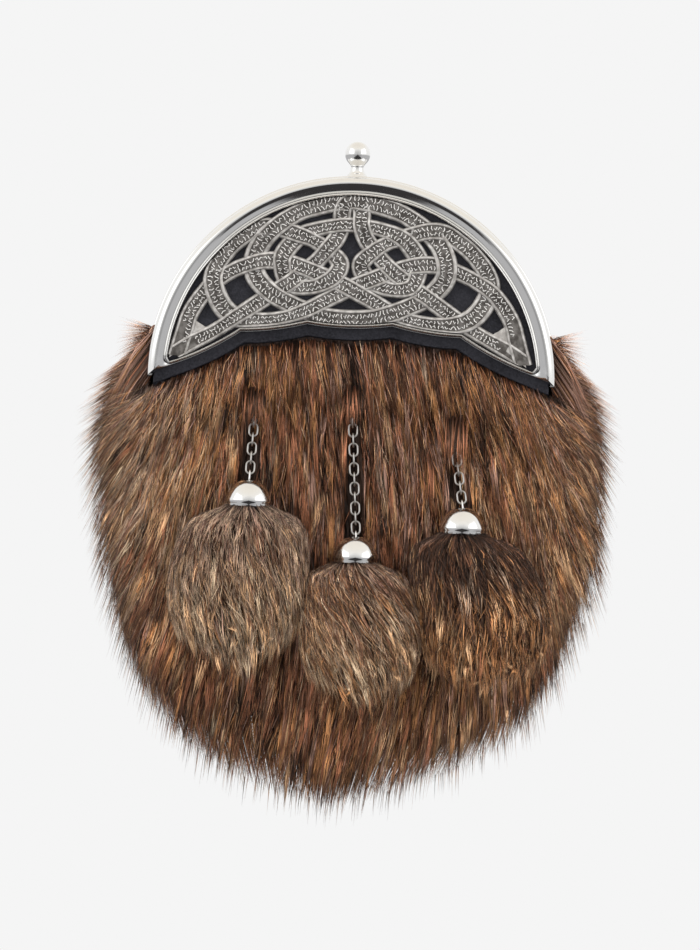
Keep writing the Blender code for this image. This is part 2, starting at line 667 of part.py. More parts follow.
def chain_direction(row):
    """Return the way that a chain climbs from its tassel cap."""
    return Vector((row.lean_x, row.lean_y, 1.0)).normalized()


def chain_point(row, count):
    """Return the point that is a number of links up a chain from the eye of its cap."""
    return Vector((row.eye_x, CAP_DEPTH, row.eye_z)) + chain_direction(row) * LINK_PITCH * count


def add_link(bm, row, count):
    """Model one oval link of a chain; every second one, from the eye up, faces the front."""
    along = chain_direction(row)
    sideways = along.cross(Vector((0.0, -1.0, 0.0))).normalized()
    facing = along.cross(sideways)
    across, through = (sideways, facing) if count % 2 == 1 else (facing, sideways)
    centre = chain_point(row, count)
    bend = LINK_WIDTH / 2.0 - LINK_WIRE
    straight = LINK_LENGTH / 2.0 - LINK_WIRE - bend
    rings = []
    for i in range(LINK_SIDES):
        end = 1.0 if i < LINK_SIDES // 2 else -1.0
        turn = math.pi * (i % (LINK_SIDES // 2)) / (LINK_SIDES // 2 - 1)
        if end < 0.0:
            turn += math.pi
        radial = across * math.cos(turn) + along * math.sin(turn)
        middle = centre + radial * bend + along * straight * end
        angles = [2.0 * math.pi * k / WIRE_SIDES for k in range(WIRE_SIDES)]
        rings.append([middle + (radial * math.cos(a) + through * math.sin(a)) * LINK_WIRE
                      for a in angles])
    hoop(bm, rings)


def build_chain(row):
    """Build the links of one chain."""
    for count in range(1, row.links + 1):
        bm = bmesh.new()
        add_link(bm, row, count)
        add_object(f"chain_{row.name}_link_{count:02d}", bm, CHROME)


def build_chain_staple(row):
    """Build the post and eye that a chain hangs from."""
    eye = chain_point(row, row.links + 1)
    bm = bmesh.new()
    reach = TRIM_BACK - eye.y - LINK_WIDTH / 2.0 + LINK_WIRE
    profile = [*STAPLE_PROFILE, Turn(STAPLE_PROFILE[-1].radius, reach)]
    turned(bm, profile, STAPLE_SIDES, (eye.x, TRIM_BACK, eye.z), axis="Y")
    staple = add_object(f"chain_staple_{row.name}", bm, CHROME)
    ring = bmesh.new()
    add_link(ring, row, row.links + 1)
    boolean(staple, add_cutter(f"staple_eye_{row.name}", ring), "UNION")


def build_tassel_cap(row):
    """Build the bell-shaped cap of a tassel with the eye on its top."""
    bm = bmesh.new()
    turned(bm, CAP_PROFILE, CAP_SIDES, (row.eye_x, CAP_DEPTH, row.eye_z))
    cap = add_object(f"tassel_cap_{row.name}", bm, CHROME)
    ring = bmesh.new()
    add_link(ring, row, 0)
    boolean(cap, add_cutter(f"cap_eye_{row.name}", ring), "UNION")


def tassel_ring(row, width, depth, fall, relief):
    """Return one ring of a tassel's fur, with every second point lower and nearer its middle."""
    rim = row.eye_z + CAP_RIM
    x = blend(row.eye_x, row.fur_x, min(1.0, max(0.0, 2.2 * fall)))
    y = CAP_DEPTH - max(0.0, depth - (TASSEL_BACK - CAP_DEPTH))
    ring = []
    for i in range(TASSEL_SIDES):
        angle = 2.0 * math.pi * i / TASSEL_SIDES
        cut = i % 2 * relief
        z = rim - row.drop * fall + cut * TASSEL_TIP_CUT
        px = x + (width - cut * TASSEL_RELIEF) * math.cos(angle)
        py = y + (depth - cut * TASSEL_RELIEF) * math.sin(angle)
        ring.append(Vector((px, py, z)))
    return ring


def build_tassel_fur(row):
    """Build the fur of a tassel: pointed locks fused to a head inside its cap."""
    head = 4.6 / row.drop
    rings = [tassel_ring(row, TASSEL_HEAD, TASSEL_HEAD, -head, 0.0)]
    rings.append(tassel_ring(row, TASSEL_HEAD, TASSEL_HEAD, 0.4 / row.drop, 0.0))
    for step in TASSEL_FUR:
        width = row.half_width * step.width_share
        rings.append(tassel_ring(row, width, step.depth, step.fall, max(0.0, step.fall - 0.1) ** 1.5))
    rings.append(tassel_ring(row, 0.3 * row.half_width, 4.0, 0.86, 0.0))
    bm = bmesh.new()
    loft(bm, rings)
    add_object(f"tassel_fur_{row.name}", bm, TASSEL_FINISH[row.name])


def build_back_flap():
    """Build the leather flap that covers the mouth."""
    right = [
        (FLAP_HALF_WIDTH - 4.0, FLAP_TOP), (FLAP_HALF_WIDTH, FLAP_TOP - 4.0),
        (FLAP_HALF_WIDTH, FLAP_TOP - FLAP_SIDE_DROP),
        (FLAP_HALF_WIDTH * 0.86, FLAP_TOP - FLAP_DROP * 0.72),
        (FLAP_HALF_WIDTH * 0.55, FLAP_TOP - FLAP_DROP * 0.88),
        (FLAP_HALF_WIDTH * 0.2, FLAP_TOP - FLAP_DROP * 0.99), (0.0, FLAP_TOP - FLAP_DROP),
    ]
    bm = bmesh.new()
    prism(bm, both_sides(right), BACK_FACE + CLEARANCE, BACK_FACE + CLEARANCE + LEATHER)
    add_object("back_flap", bm, BLACK_LEATHER)


def build_flap_stud():
    """Build the press stud that closes the flap."""
    bm = bmesh.new()
    foot = BACK_FACE + LEATHER + 2.0 * CLEARANCE
    profile = [Turn(row.radius, -row.z) for row in STUD_PROFILE]
    turned(bm, profile, STUD_SIDES, (0.0, foot, FLAP_TOP - STUD_DROP), axis="Y")
    add_object("flap_stud", bm, CHROME)


def build_belt_loop(name, side):
    """Build a leather loop, with a foot above and below, that the belt strap runs through."""
    foot = BACK_FACE + CLEARANCE
    half = [
        (LOOP_HALF_HEIGHT + LOOP_FOOT, foot), (LOOP_HALF_HEIGHT + LOOP_FOOT, foot + 1.6),
        (LOOP_HALF_HEIGHT + 1.2, foot + LOOP_LEATHER), (LOOP_HALF_HEIGHT, foot + LOOP_LEATHER + 1.2),
        (LOOP_HALF_HEIGHT, STRAP_ROOM + LOOP_LEATHER - LOOP_CHAMFER),
        (LOOP_HALF_HEIGHT - LOOP_CHAMFER, STRAP_ROOM + LOOP_LEATHER),
    ]
    inner = [
        (LOOP_HALF_HEIGHT - LOOP_LEATHER - 0.8, STRAP_ROOM),
        (LOOP_HALF_HEIGHT - LOOP_LEATHER, STRAP_ROOM - 0.8), (LOOP_HALF_HEIGHT - LOOP_LEATHER, foot),
    ]
    outline = half + [(-z, y) for z, y in reversed(half)]
    outline += [(-z, y) for z, y in reversed(inner)] + inner
    rings = []
    for reach in (-LOOP_WIDTH / 2.0, LOOP_WIDTH / 2.0):
        x = side * LOOP_HALF_SPAN + reach
        rings.append([Vector((x, y, ARCH_BELOW_STRAP + z)) for z, y in outline])
    bm = bmesh.new()
    loft(bm, rings)
    add_object(name, bm, BLACK_LEATHER)


def main():
    """Build the whole sporran."""
    clear_scene()
    build_cantle_frame()
    build_knot_plate()
    build_cantle_leather()
    build_ball_finial()
    build_pouch_wall()
    build_pouch_fur()
    for row in TASSELS:
        build_chain(row)
        build_chain_staple(row)
        build_tassel_cap(row)
        build_tassel_fur(row)
    build_back_flap()
    build_flap_stud()
    build_belt_loop("belt_loop_left", -1.0)
    build_belt_loop("belt_loop_right", 1.0)


main()
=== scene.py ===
"""Dress of a fur sporran: polished cantle, cast knotwork, chains, fur tassels and a long fur coat.

Shapes are worked out in millimetres from the centre of the cantle's arch, with X to the right,
-Y to the front and Z up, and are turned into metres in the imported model's frame when a mesh is made.
"""

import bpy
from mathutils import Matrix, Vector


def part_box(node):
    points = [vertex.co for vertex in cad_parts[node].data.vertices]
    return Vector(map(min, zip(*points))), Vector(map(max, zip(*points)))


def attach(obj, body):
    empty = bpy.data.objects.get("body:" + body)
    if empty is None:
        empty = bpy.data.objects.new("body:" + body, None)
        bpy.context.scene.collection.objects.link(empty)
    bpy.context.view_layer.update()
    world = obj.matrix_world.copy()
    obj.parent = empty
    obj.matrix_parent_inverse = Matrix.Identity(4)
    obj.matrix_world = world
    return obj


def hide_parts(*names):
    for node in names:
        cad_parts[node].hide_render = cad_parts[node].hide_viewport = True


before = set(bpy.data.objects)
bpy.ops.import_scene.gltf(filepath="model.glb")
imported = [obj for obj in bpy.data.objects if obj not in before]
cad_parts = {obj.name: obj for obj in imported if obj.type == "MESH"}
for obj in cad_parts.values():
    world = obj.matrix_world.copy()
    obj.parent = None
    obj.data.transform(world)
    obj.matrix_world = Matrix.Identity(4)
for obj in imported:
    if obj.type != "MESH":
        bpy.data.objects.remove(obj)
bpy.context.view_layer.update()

import logging
import math
from collections import namedtuple
from collections.abc import Iterator
from contextlib import contextmanager
from dataclasses import dataclass
from enum import Enum

import bmesh
import bpy
import numpy as np
from mathutils import Matrix, Vector
from mathutils.geometry import intersect_line_line_2d

# Short names of the types in hints
Array = np.ndarray
Piece = bpy.types.Object
Material = bpy.types.Material
Socket = bpy.types.NodeSocket
Rng = np.random.Generator

LOG = logging.getLogger("sporran")
MM = 0.001
BODY = "root"
ARCH_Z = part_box("cantle_frame")[0].z / MM
SEED = 1707
# Distance in metres under which points count as one
MERGE_REACH = 0.00001

# Angles in degrees under which faces are shaded as one
CAST_ANGLE = 30.0
LEATHER_ANGLE = 40.0
TURNED_ANGLE = 50.0
WIRE_ANGLE = 60.0
FUR_ANGLE = 80.0
HAIR_ANGLE = 180.0

# Depths of the layers, from the back of the pouch to its front
BACK_FACE = -3.3
POUCH_FRONT = -38.2
TRIM_BACK = -38.5
CAST_BACK = -40.9


class Slot(Enum):
    """Names of the record's material slots; the pieces here take their materials directly."""

    CHROME = "polished_chrome"
    SILVER = "antique_silver"
    LEATHER = "black_leather"
    COAT = "fur_coat"
    TASSEL_LIGHT = "tassel_fur_light"
    TASSEL_BROWN = "tassel_fur_brown"
    TASSEL_DARK = "tassel_fur_dark"


class Hair(Enum):
    """Colour families of the fur, each with its place along the strands' tone scale."""

    BLACK = 0
    UMBER = 1
    RUST = 2
    AMBER = 3
    TAN = 4
    ASH = 5
    MAUVE = 6
    STRAW = 7


def table(kind: type, rows: list) -> list:
    """Return rows of numbers as rows of a named kind."""
    return [kind(*row) for row in rows]


# Colour of each family at the root and at the tip: the far darker roots are partly the hair's own colour and
# partly painted shade deep in the fur
HairTone = namedtuple("HairTone", "family root tip")
HAIR_TONES = table(HairTone, [
    (Hair.BLACK, (0.008, 0.005, 0.004), (0.028, 0.016, 0.011)),
    (Hair.UMBER, (0.018, 0.009, 0.006), (0.150, 0.070, 0.040)),
    (Hair.RUST, (0.036, 0.013, 0.007), (0.340, 0.140, 0.074)),
    (Hair.AMBER, (0.060, 0.022, 0.009), (0.460, 0.222, 0.092)),
    (Hair.TAN, (0.055, 0.029, 0.016), (0.560, 0.345, 0.190)),
    (Hair.ASH, (0.046, 0.031, 0.023), (0.370, 0.258, 0.180)),
    (Hair.MAUVE, (0.055, 0.034, 0.029), (0.340, 0.198, 0.148)),
    (Hair.STRAW, (0.075, 0.050, 0.033), (0.620, 0.474, 0.320)),
])


def blend(a: float, b: float, share: float) -> float:
    """Return the value that lies at a share of the way from a to b."""
    return a + (b - a) * share


def unit(vectors: Array) -> Array:
    """Return vectors scaled to a length of one along their last axis."""
    length = np.linalg.norm(vectors, axis=-1, keepdims=True)
    return vectors / np.maximum(length, 1e-9)


def scaled(colour: tuple, share: float) -> tuple:
    """Return a colour made darker or lighter by a share."""
    return tuple(share * c for c in colour)


def along_line(line: Array) -> Array:
    """Return the unit vectors along a line of points."""
    return unit(np.gradient(line, axis=0))


def perpendicular(along: Array) -> Array:
    """Return flat vectors turned a quarter to the left."""
    return np.stack((-along[..., 1], along[..., 0]), axis=-1)


def distances(line: Array) -> Array:
    """Return how far along a line each of its points lies."""
    return np.concatenate(([0.0], np.cumsum(np.linalg.norm(np.diff(line, axis=0), axis=1))))


def read_off(places: Array, known: Array, values: Array) -> Array:
    """Return each column of values at places between the known ones."""
    return np.stack([np.interp(places, known, values[:, i]) for i in range(values.shape[1])], axis=-1)


def picked(shares: Array, rng: Rng) -> Array:
    """Pick one column for each row, by the row's shares."""
    total = np.cumsum(shares, axis=1)
    return (rng.random(len(shares))[:, None] * total[:, -1:] > total).sum(axis=1)


def in_frame(points: Array) -> Array:
    """Turn millimetres from the arch's centre into metres of the frame."""
    return (np.asarray(points, float) + np.array((0.0, 0.0, ARCH_Z))) * MM


def spline(rows: list, spacing: float) -> Array:
    """Return points of a smooth open curve through rows of numbers.

    Args:
        rows: Rows whose first two values are places, and whose others follow along.
        spacing: Distance between points, in the rows' own units.

    Returns:
        One row of values for each point.
    """
    knots = np.array(rows, float)
    knots = np.vstack((2.0 * knots[0] - knots[1], knots, 2.0 * knots[-1] - knots[-2]))
    points = []
    for k in range(1, len(knots) - 2):
        before, start, end, after = knots[k - 1:k + 3]
        steps = max(1, round(float(np.linalg.norm((end - start)[:2])) / spacing))
        for i in range(steps):
            t = i / steps
            bend = 2.0 * before - 5.0 * start + 4.0 * end - after
            twist = 3.0 * start - before - 3.0 * end + after
            points.append(0.5 * (2.0 * start + (end - before) * t + bend * t ** 2 + twist * t ** 3))
    return np.array([*points, knots[-2]])


def resampled(line: Array, count: int) -> Array:
    """Return count + 1 points at equal distances along a line of points."""
    length = distances(line)
    return read_off(np.linspace(0.0, length[-1], count + 1), length, line)


def both_sides(right_half: Array) -> Array:
    """Return a line from the left end through the middle to the right end."""
    mirror = right_half * np.array((-1.0, 1.0))
    return np.vstack((mirror, right_half[-2::-1]))


def shifted(line: Array, distance: float) -> Array:
    """Shift an open line of (x, z) points to its right by a distance."""
    return line - distance * perpendicular(along_line(line))


def arc(radius: float, start: float, end: float, steps: int) -> Array:
    """Return points of an arc round the arch's centre between two angles in degrees."""
    angles = np.radians(np.linspace(start, end, steps + 1))
    return radius * np.stack((np.cos(angles), np.sin(angles)), axis=1)


def select_only(*pieces: Piece) -> None:
    """Select these pieces alone, with the first one active."""
    bpy.ops.object.select_all(action="DESELECT")
    for piece in pieces:
        piece.select_set(True)
    bpy.context.view_layer.objects.active = pieces[0]


def linked(name: str, data: bpy.types.ID) -> Piece:
    """Return a new object of some data, linked to the scene."""
    obj = bpy.data.objects.new(name, data)
    bpy.context.collection.objects.link(obj)
    return obj


def span(node: str) -> tuple:
    """Return the low and the high corner of a CAD node's box, in millimetres from the arch's centre."""
    return tuple(np.array(corner) / MM - np.array((0.0, 0.0, ARCH_Z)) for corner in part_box(node))


def finish_piece(obj: Piece, material: Material, nodes: tuple = (),
                 smooth: float = LEATHER_ANGLE) -> None:
    """Give a piece its finish and its body.

    Args:
        obj: The finished piece.
        material: Its material.
        nodes: CAD nodes that it stands for.
        smooth: Angle in degrees under which its faces are shaded as one.
    """
    obj.data.materials.clear()
    obj.data.materials.append(material)
    if smooth < HAIR_ANGLE:
        select_only(obj)
        bpy.ops.object.shade_smooth_by_angle(angle=math.radians(smooth))
    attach(obj, BODY)
    if nodes:
        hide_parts(*nodes)
    LOG.info("%s: %d faces", obj.name, len(obj.data.polygons))


@contextmanager
def edited(obj: Piece) -> Iterator[bmesh.types.BMesh]:
    """Open a piece's mesh for editing, and write it back at the end."""
    bm = bmesh.new()
    bm.from_mesh(obj.data)
    yield bm
    bm.to_mesh(obj.data)
    bm.free()


@contextmanager
def edit_mode() -> Iterator[None]:
    """Edit the whole mesh of the active piece, and turn its faces outwards at the end."""
    bpy.ops.object.mode_set(mode="EDIT")
    bpy.ops.mesh.select_all(action="SELECT")
    yield
    bpy.ops.mesh.select_all(action="SELECT")
    bpy.ops.mesh.normals_make_consistent(inside=False)
    bpy.ops.object.mode_set(mode="OBJECT")


def loft(name: str, rings: Array, hoop: bool = False) -> Piece:
    """Make a closed piece by skinning rings of points.

    Args:
        name: Name of the piece.
        rings: Array of rings, each with the same number of points.
        hoop: True where the last ring joins the first, and False where both ends are closed.

    Returns:
        The new piece, with its faces pointing out.
    """
    count, sides = rings.shape[:2]
    faces = []
    for k in range(count if hoop else count - 1):
        near, far = k * sides, (k + 1) % count * sides
        faces += [(near + i, near + (i + 1) % sides, far + (i + 1) % sides, far + i) for i in range(sides)]
    if not hoop:
        faces += [tuple(range(sides)), tuple(range((count - 1) * sides, count * sides))]
    mesh = bpy.data.meshes.new(name)
    mesh.from_pydata(in_frame(rings.reshape(-1, 3)).tolist(), [], faces)
    obj = linked(name, mesh)
    with edited(obj) as bm:
        bmesh.ops.recalc_face_normals(bm, faces=bm.faces)
    return obj


def joined(name: str, pieces: list) -> Piece:
    """Join pieces into one object with a name."""
    select_only(*pieces)
    bpy.ops.object.join()
    pieces[0].name = name
    pieces[0].data.name = name
    return pieces[0]


def rounded_copy(name: str, node: str, width: float, angle: float = 35.0) -> Piece:
    """Copy a CAD node and round the copy's sharp edges.

    Args:
        name: Name of the copy.
        node: Name of the CAD node.
        width: Width of the rounding in millimetres.
        angle: Angle in degrees from which an edge counts as sharp.

    Returns:
        The merged and rounded copy.
    """
    obj = linked(name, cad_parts[node].data.copy())
    with edited(obj) as bm:
        bmesh.ops.remove_doubles(bm, verts=bm.verts, dist=MERGE_REACH)
        bmesh.ops.dissolve_limit(bm, angle_limit=math.radians(1.0), verts=bm.verts, edges=bm.edges)
    bevel = obj.modifiers.new("rounding", "BEVEL")
    bevel.width = width * MM
    bevel.segments = 3
    bevel.limit_method = "ANGLE"
    bevel.angle_limit = math.radians(angle)
    bevel.harden_normals = False
    select_only(obj)
    bpy.ops.object.modifier_apply(modifier=bevel.name)
    return obj


Turn = namedtuple("Turn", "radius z")


def turned(name: str, profile: list, centre: tuple, sides: int, forward: bool = False,
           spacing: float = 0.6) -> Piece:
    """Turn a piece from a disc that is extruded and scaled along its profile.

    Args:
        name: Name of the piece.
        profile: Rows of radius and height, from the foot to the top.
        centre: Foot of the axis, in millimetres from the arch's centre.
        sides: Number of sides.
        forward: True where the axis points along -Y, and False where it points up.
        spacing: Distance between rings along the smooth profile.

    Returns:
        The turned piece, closed at both ends.
    """
    rows = [Turn(*row) for row in spline(profile, spacing)]
    bpy.ops.object.select_all(action="DESELECT")
    bpy.ops.mesh.primitive_circle_add(vertices=sides, radius=rows[0].radius * MM, fill_type="NGON")
    obj = bpy.context.object
    obj.name = name
    with edit_mode():
        bpy.ops.transform.translate(value=(0.0, 0.0, rows[0].z * MM))
        for below, row in zip(rows, rows[1:]):
            climb = (0.0, 0.0, (row.z - below.z) * MM)
            bpy.ops.mesh.extrude_region_move(TRANSFORM_OT_translate={"value": climb})
            scale = row.radius / below.radius
            bpy.ops.transform.resize(value=(scale, scale, 1.0), center_override=(0.0, 0.0, row.z * MM))
    tilt = Matrix.Rotation(math.radians(90.0), 4, "X") if forward else Matrix.Identity(4)
    obj.data.transform(Matrix.Translation(Vector(in_frame(centre))) @ tilt)
    return obj


class Nodes:
    """A material's node tree, with short ways to add what the finishes need."""

    def __init__(self, name: str) -> None:
        """Start a material with an empty Principled shader."""
        self.material = bpy.data.materials.new(name)
        self.material.use_nodes = True
        self.tree = self.material.node_tree
        self.shader = self.tree.nodes["Principled BSDF"]

    def feed(self, target: Socket, value: object) -> None:
        """Link a socket to a target, or set the target to a number, a colour or a vector."""
        if isinstance(value, Socket):
            self.tree.links.new(value, target)
        elif isinstance(value, tuple) and len(target.default_value) > len(value):
            target.default_value = (*value, 1.0)
        else:
            target.default_value = value

    def add(self, kind: str, inputs: dict, **settings: object) -> bpy.types.Node:
        """Add a node of a kind, set its properties and feed its inputs."""
        node = self.tree.nodes.new(kind)
        for key, value in settings.items():
            setattr(node, key, value)
        for key, value in inputs.items():
            self.feed(node.inputs[key], value)
        return node

    def set(self, **values: object) -> None:
        """Feed sockets of the shader by their names, with _ for a space."""
        for key, value in values.items():
            self.feed(self.shader.inputs[key.replace("_", " ")], value)

    def position(self, stretch: tuple = (1.0, 1.0, 1.0)) -> Socket:
        """Return the object's own coordinates, stretched along each axis."""
        place = self.add("ShaderNodeTexCoord", {}).outputs["Object"]
        return self.add("ShaderNodeMapping", {"Vector": place, "Scale": stretch}).outputs["Vector"]

    def noise(self, vector: Socket, scale: float, detail: float = 3.0) -> Socket:
        """Return a noise of a scale over a vector."""
        node = self.add("ShaderNodeTexNoise", {"Vector": vector, "Scale": scale, "Detail": detail})
        return node.outputs["Fac"]

    def cells(self, vector: Socket, scale: float) -> Socket:
        """Return the distances of a cell pattern over a vector."""
        return self.add("ShaderNodeTexVoronoi", {"Vector": vector, "Scale": scale}).outputs["Distance"]

    def ranged(self, value: Socket, source: tuple, target: tuple = (0.0, 1.0)) -> Socket:
        """Return a value moved from one range to another."""
        ends = dict(zip(("From Min", "From Max", "To Min", "To Max"), (*source, *target)))
        return self.add("ShaderNodeMapRange", {"Value": value, **ends}).outputs["Result"]

    def ramp(self, value: Socket, stops: list) -> Socket:
        """Return a colour from stops of (place, colour)."""
        node = self.add("ShaderNodeValToRGB", {"Fac": value})
        elements = node.color_ramp.elements
        while len(elements) < len(stops):
            elements.new(0.5)
        for element, (place, colour) in zip(elements, stops):
            element.position = place
            element.color = (*colour, 1.0)
        return node.outputs["Color"]

    def maths(self, operation: str, a: object, b: object) -> Socket:
        """Return the result of an operation on two values."""
        return self.add("ShaderNodeMath", {0: a, 1: b}, operation=operation).outputs[0]

    def mixed(self, share: object, a: object, b: object, mode: str = "MIX") -> Socket:
        """Return two colours mixed by a share."""
        node = self.add("ShaderNodeMix", {0: share, 6: a, 7: b}, data_type="RGBA", blend_type=mode)
        return node.outputs[2]

    def bump(self, height: Socket, strength: float, distance: float) -> None:
        """Let a height dent the surface, by a distance in millimetres."""
        dent = {"Height": height, "Strength": strength, "Distance": distance * MM}
        self.set(Normal=self.add("ShaderNodeBump", dent).outputs["Normal"])


class RoomNodes(Nodes):
    """The world's node tree, with the same short ways as a material's."""

    def __init__(self, name: str) -> None:
        """Start an empty world."""
        world = bpy.data.worlds.new(name)
        world.use_nodes = True
        bpy.context.scene.world = world
        self.tree = world.node_tree
        self.tree.nodes.clear()


# Range that most of a noise's values lie in
NOISE_SPAN = (0.3, 0.7)
STRAND_UV = "OFBake"


@dataclass(frozen=True)
class Finish:
    """A finish that a material is made from."""

    name: str

    def shade(self, nodes: Nodes) -> None:
        """Add the finish to a material's nodes."""
        raise NotImplementedError

    def make(self) -> Material:
        """Return the material."""
        nodes = Nodes(self.name)
        self.shade(nodes)
        return nodes.material


@dataclass(frozen=True)
class Polish(Finish):
    """Bright plated metal with faint polishing marks."""

    colour: tuple = (0.84, 0.835, 0.82)
    roughness: tuple = (0.08, 0.12)
    waviness: float = 0.012
    wave_scale: float = 120.0
    wave_depth: float = 0.25
    smear_scale: float = 260.0
    smear_share: float = 0.97

    def shade(self, nodes: Nodes) -> None:
        """Add smears that vary the tone and the roughness, and a slight waviness."""
        place = nodes.position()
        smears = nodes.noise(place, self.smear_scale, 4.0)
        dull = scaled(self.colour, self.smear_share)
        tone = nodes.mixed(nodes.ranged(smears, NOISE_SPAN), dull, self.colour)
        nodes.set(Base_Color=tone, Roughness=nodes.ranged(smears, NOISE_SPAN, self.roughness), Metallic=1.0,
                  Specular_IOR_Level=0.5)
        nodes.bump(nodes.noise(place, self.wave_scale, 2.0), self.waviness, self.wave_depth)


@dataclass(frozen=True)
class CastSilver(Finish):
    """Cast antique silver: brown-black patina in its recesses, pale on its raised edges and marks, where the
    pale is partly polish and partly painted highlight.
    """

    recess: tuple = (0.085, 0.077, 0.070)
    body: tuple = (0.375, 0.355, 0.335)
    # Colour of the raised edges and marks: polished silver with painted highlight
    edge: tuple = (0.95, 0.93, 0.90)
    stops: tuple = (0.04, 0.5, 0.98)
    roughness: tuple = (0.32, 0.46)
    metallic: float = 0.85
    patina_scale: float = 420.0
    patina_reach: tuple = (-0.16, 0.16)
    grit_scale: float = 1500.0
    grit: tuple = (0.35, 0.12)

    def shade(self, nodes: Nodes) -> None:
        """Colour the metal by how far each point is raised, which its attribute says."""
        place = nodes.position()
        relief = nodes.add("ShaderNodeAttribute", {}, attribute_name="relief").outputs["Fac"]
        patina = nodes.noise(place, self.patina_scale, 4.0)
        worn = nodes.maths("ADD", relief, nodes.ranged(patina, NOISE_SPAN, self.patina_reach))
        colour = nodes.ramp(worn, list(zip(self.stops, (self.recess, self.body, self.edge))))
        nodes.set(Base_Color=colour, Roughness=nodes.ranged(patina, NOISE_SPAN, self.roughness),
                  Metallic=self.metallic)
        nodes.bump(nodes.noise(place, self.grit_scale), *self.grit)


@dataclass(frozen=True)
class Leather(Finish):
    """Fine-grained black leather with a dull shine."""

    dark: tuple = (0.004, 0.004, 0.005)
    light: tuple = (0.013, 0.013, 0.016)
    grain: float = 900.0
    speckle: float = 1440.0
    depth: float = 0.22
    strength: float = 0.6
    wear_scale: float = 45.0
    wear_share: float = 0.4
    mottle_span: tuple = (0.34, 0.66)
    roughness: tuple = (0.48, 0.66)
    shine: float = 0.16

    def shade(self, nodes: Nodes) -> None:
        """Add a mottled colour, worn patches and a pebbled grain."""
        place = nodes.position()
        pebbles = nodes.cells(place, self.grain)
        speckle = nodes.noise(place, self.speckle)
        wear = nodes.noise(place, self.wear_scale, 4.0)
        mottle = nodes.maths("ADD", nodes.maths("MULTIPLY", speckle, 1.0 - self.wear_share),
                             nodes.maths("MULTIPLY", wear, self.wear_share))
        colour = nodes.mixed(nodes.ranged(mottle, self.mottle_span), self.dark, self.light)
        nodes.set(Base_Color=colour, Roughness=nodes.ranged(wear, NOISE_SPAN, self.roughness),
                  Specular_IOR_Level=self.shine)
        grain = nodes.maths("ADD", pebbles, nodes.maths("MULTIPLY", speckle, 0.5))
        nodes.bump(grain, self.strength, self.depth)


@dataclass(frozen=True)
class Thread(Finish):
    """Waxed dark thread, ribbed by its twist."""

    colour: tuple = (0.050, 0.050, 0.052)
    shares: tuple = (0.6, 1.5)
    roughness: float = 0.6
    twist_scale: float = 1800.0
    ribs: tuple = (0.5, 0.1)

    def shade(self, nodes: Nodes) -> None:
        """Add ribs that vary the colour."""
        twist = nodes.noise(nodes.position((1.0, 1.0, 3.0)), self.twist_scale, 2.0)
        colour = nodes.mixed(twist, *(scaled(self.colour, share) for share in self.shares))
        nodes.set(Base_Color=colour, Roughness=self.roughness)
        nodes.bump(twist, *self.ribs)


@dataclass(frozen=True)
class Fur(Finish):
    """Hair whose colour runs from a dark root to a pale tip, in the family that its strand's tone picks; the
    dark roots are partly painted shade.
    """

    roughness: float = 0.48
    shine: float = 0.28
    darkest: float = 0.24
    brightest: float = 1.58
    family_width: float = 0.98
    tip_span: tuple = (0.05, 0.75)

    def shade(self, nodes: Nodes) -> None:
        """Colour the hair by its UV map, which holds tone and place along the strand."""
        uv = nodes.add("ShaderNodeUVMap", {}, uv_map=STRAND_UV).outputs["UV"]
        tone, along = nodes.add("ShaderNodeSeparateXYZ", {"Vector": uv}).outputs[:2]
        roots, tips = [], []
        for row in HAIR_TONES:
            for stops, colour in ((roots, row.root), (tips, row.tip)):
                stops.append((row.family.value / len(HAIR_TONES), scaled(colour, self.darkest)))
                stops.append(((row.family.value + self.family_width) / len(HAIR_TONES),
                              scaled(colour, self.brightest)))
        share = nodes.ranged(along, self.tip_span)
        # Mixing from root colour to tip colour paints shade near the roots, along with the hair's own darker
        # roots
        colour = nodes.mixed(share, nodes.ramp(tone, roots), nodes.ramp(tone, tips))
        nodes.set(Base_Color=colour, Roughness=self.roughness, Specular_IOR_Level=self.shine)


@dataclass(frozen=True)
class UnderFurAndShade(Finish):
    """Short dark fur under the long hair, streaked along its length: its near-black is partly its own colour
    and partly painted shade between the locks.
    """

    dark: tuple = (0.004, 0.0025, 0.002)
    light: tuple = (0.018, 0.010, 0.007)
    roughness: float = 0.8
    streak_scale: float = 900.0
    streak_stretch: tuple = (1.0, 1.0, 0.09)
    streak_span: tuple = (0.35, 0.7)
    relief: tuple = (0.8, 0.6)

    def shade(self, nodes: Nodes) -> None:
        """Add the streaks."""
        streaks = nodes.noise(nodes.position(self.streak_stretch), self.streak_scale)
        colour = nodes.mixed(nodes.ranged(streaks, self.streak_span), self.dark, self.light)
        nodes.set(Base_Color=colour, Roughness=self.roughness)
        nodes.bump(streaks, *self.relief)


@dataclass(frozen=True)
class Paint(Finish):
    """Pale dull paint, very slightly uneven."""

    dark: tuple = (0.225, 0.225, 0.225)
    light: tuple = (0.24, 0.24, 0.24)
    roughness: float = 0.7
    scale: float = 60.0

    def shade(self, nodes: Nodes) -> None:
        """Add the uneven colour."""
        grain = nodes.noise(nodes.position(), self.scale, 2.0)
        nodes.set(Base_Color=nodes.mixed(grain, self.dark, self.light), Roughness=self.roughness)


# Hair: lines from root to tip, widths in millimetres, tones from 0 to 1, the way that ridges face,
# and places across the coat
Strands = namedtuple("Strands", "lines widths tones outward across", defaults=(None,))
COAT_PARTS = ("left", "centre_left", "centre_right", "right")
# Widths of a strand's rings from its root on, before its pointed tip
TAPER = (1.0, 0.72)
RIDGE_HEIGHT = 0.8
TONE_HALF = 0.004
# Part of a colour family's place on the tone scale that its hairs take
TONE_START, TONE_REACH = 0.04, 0.88


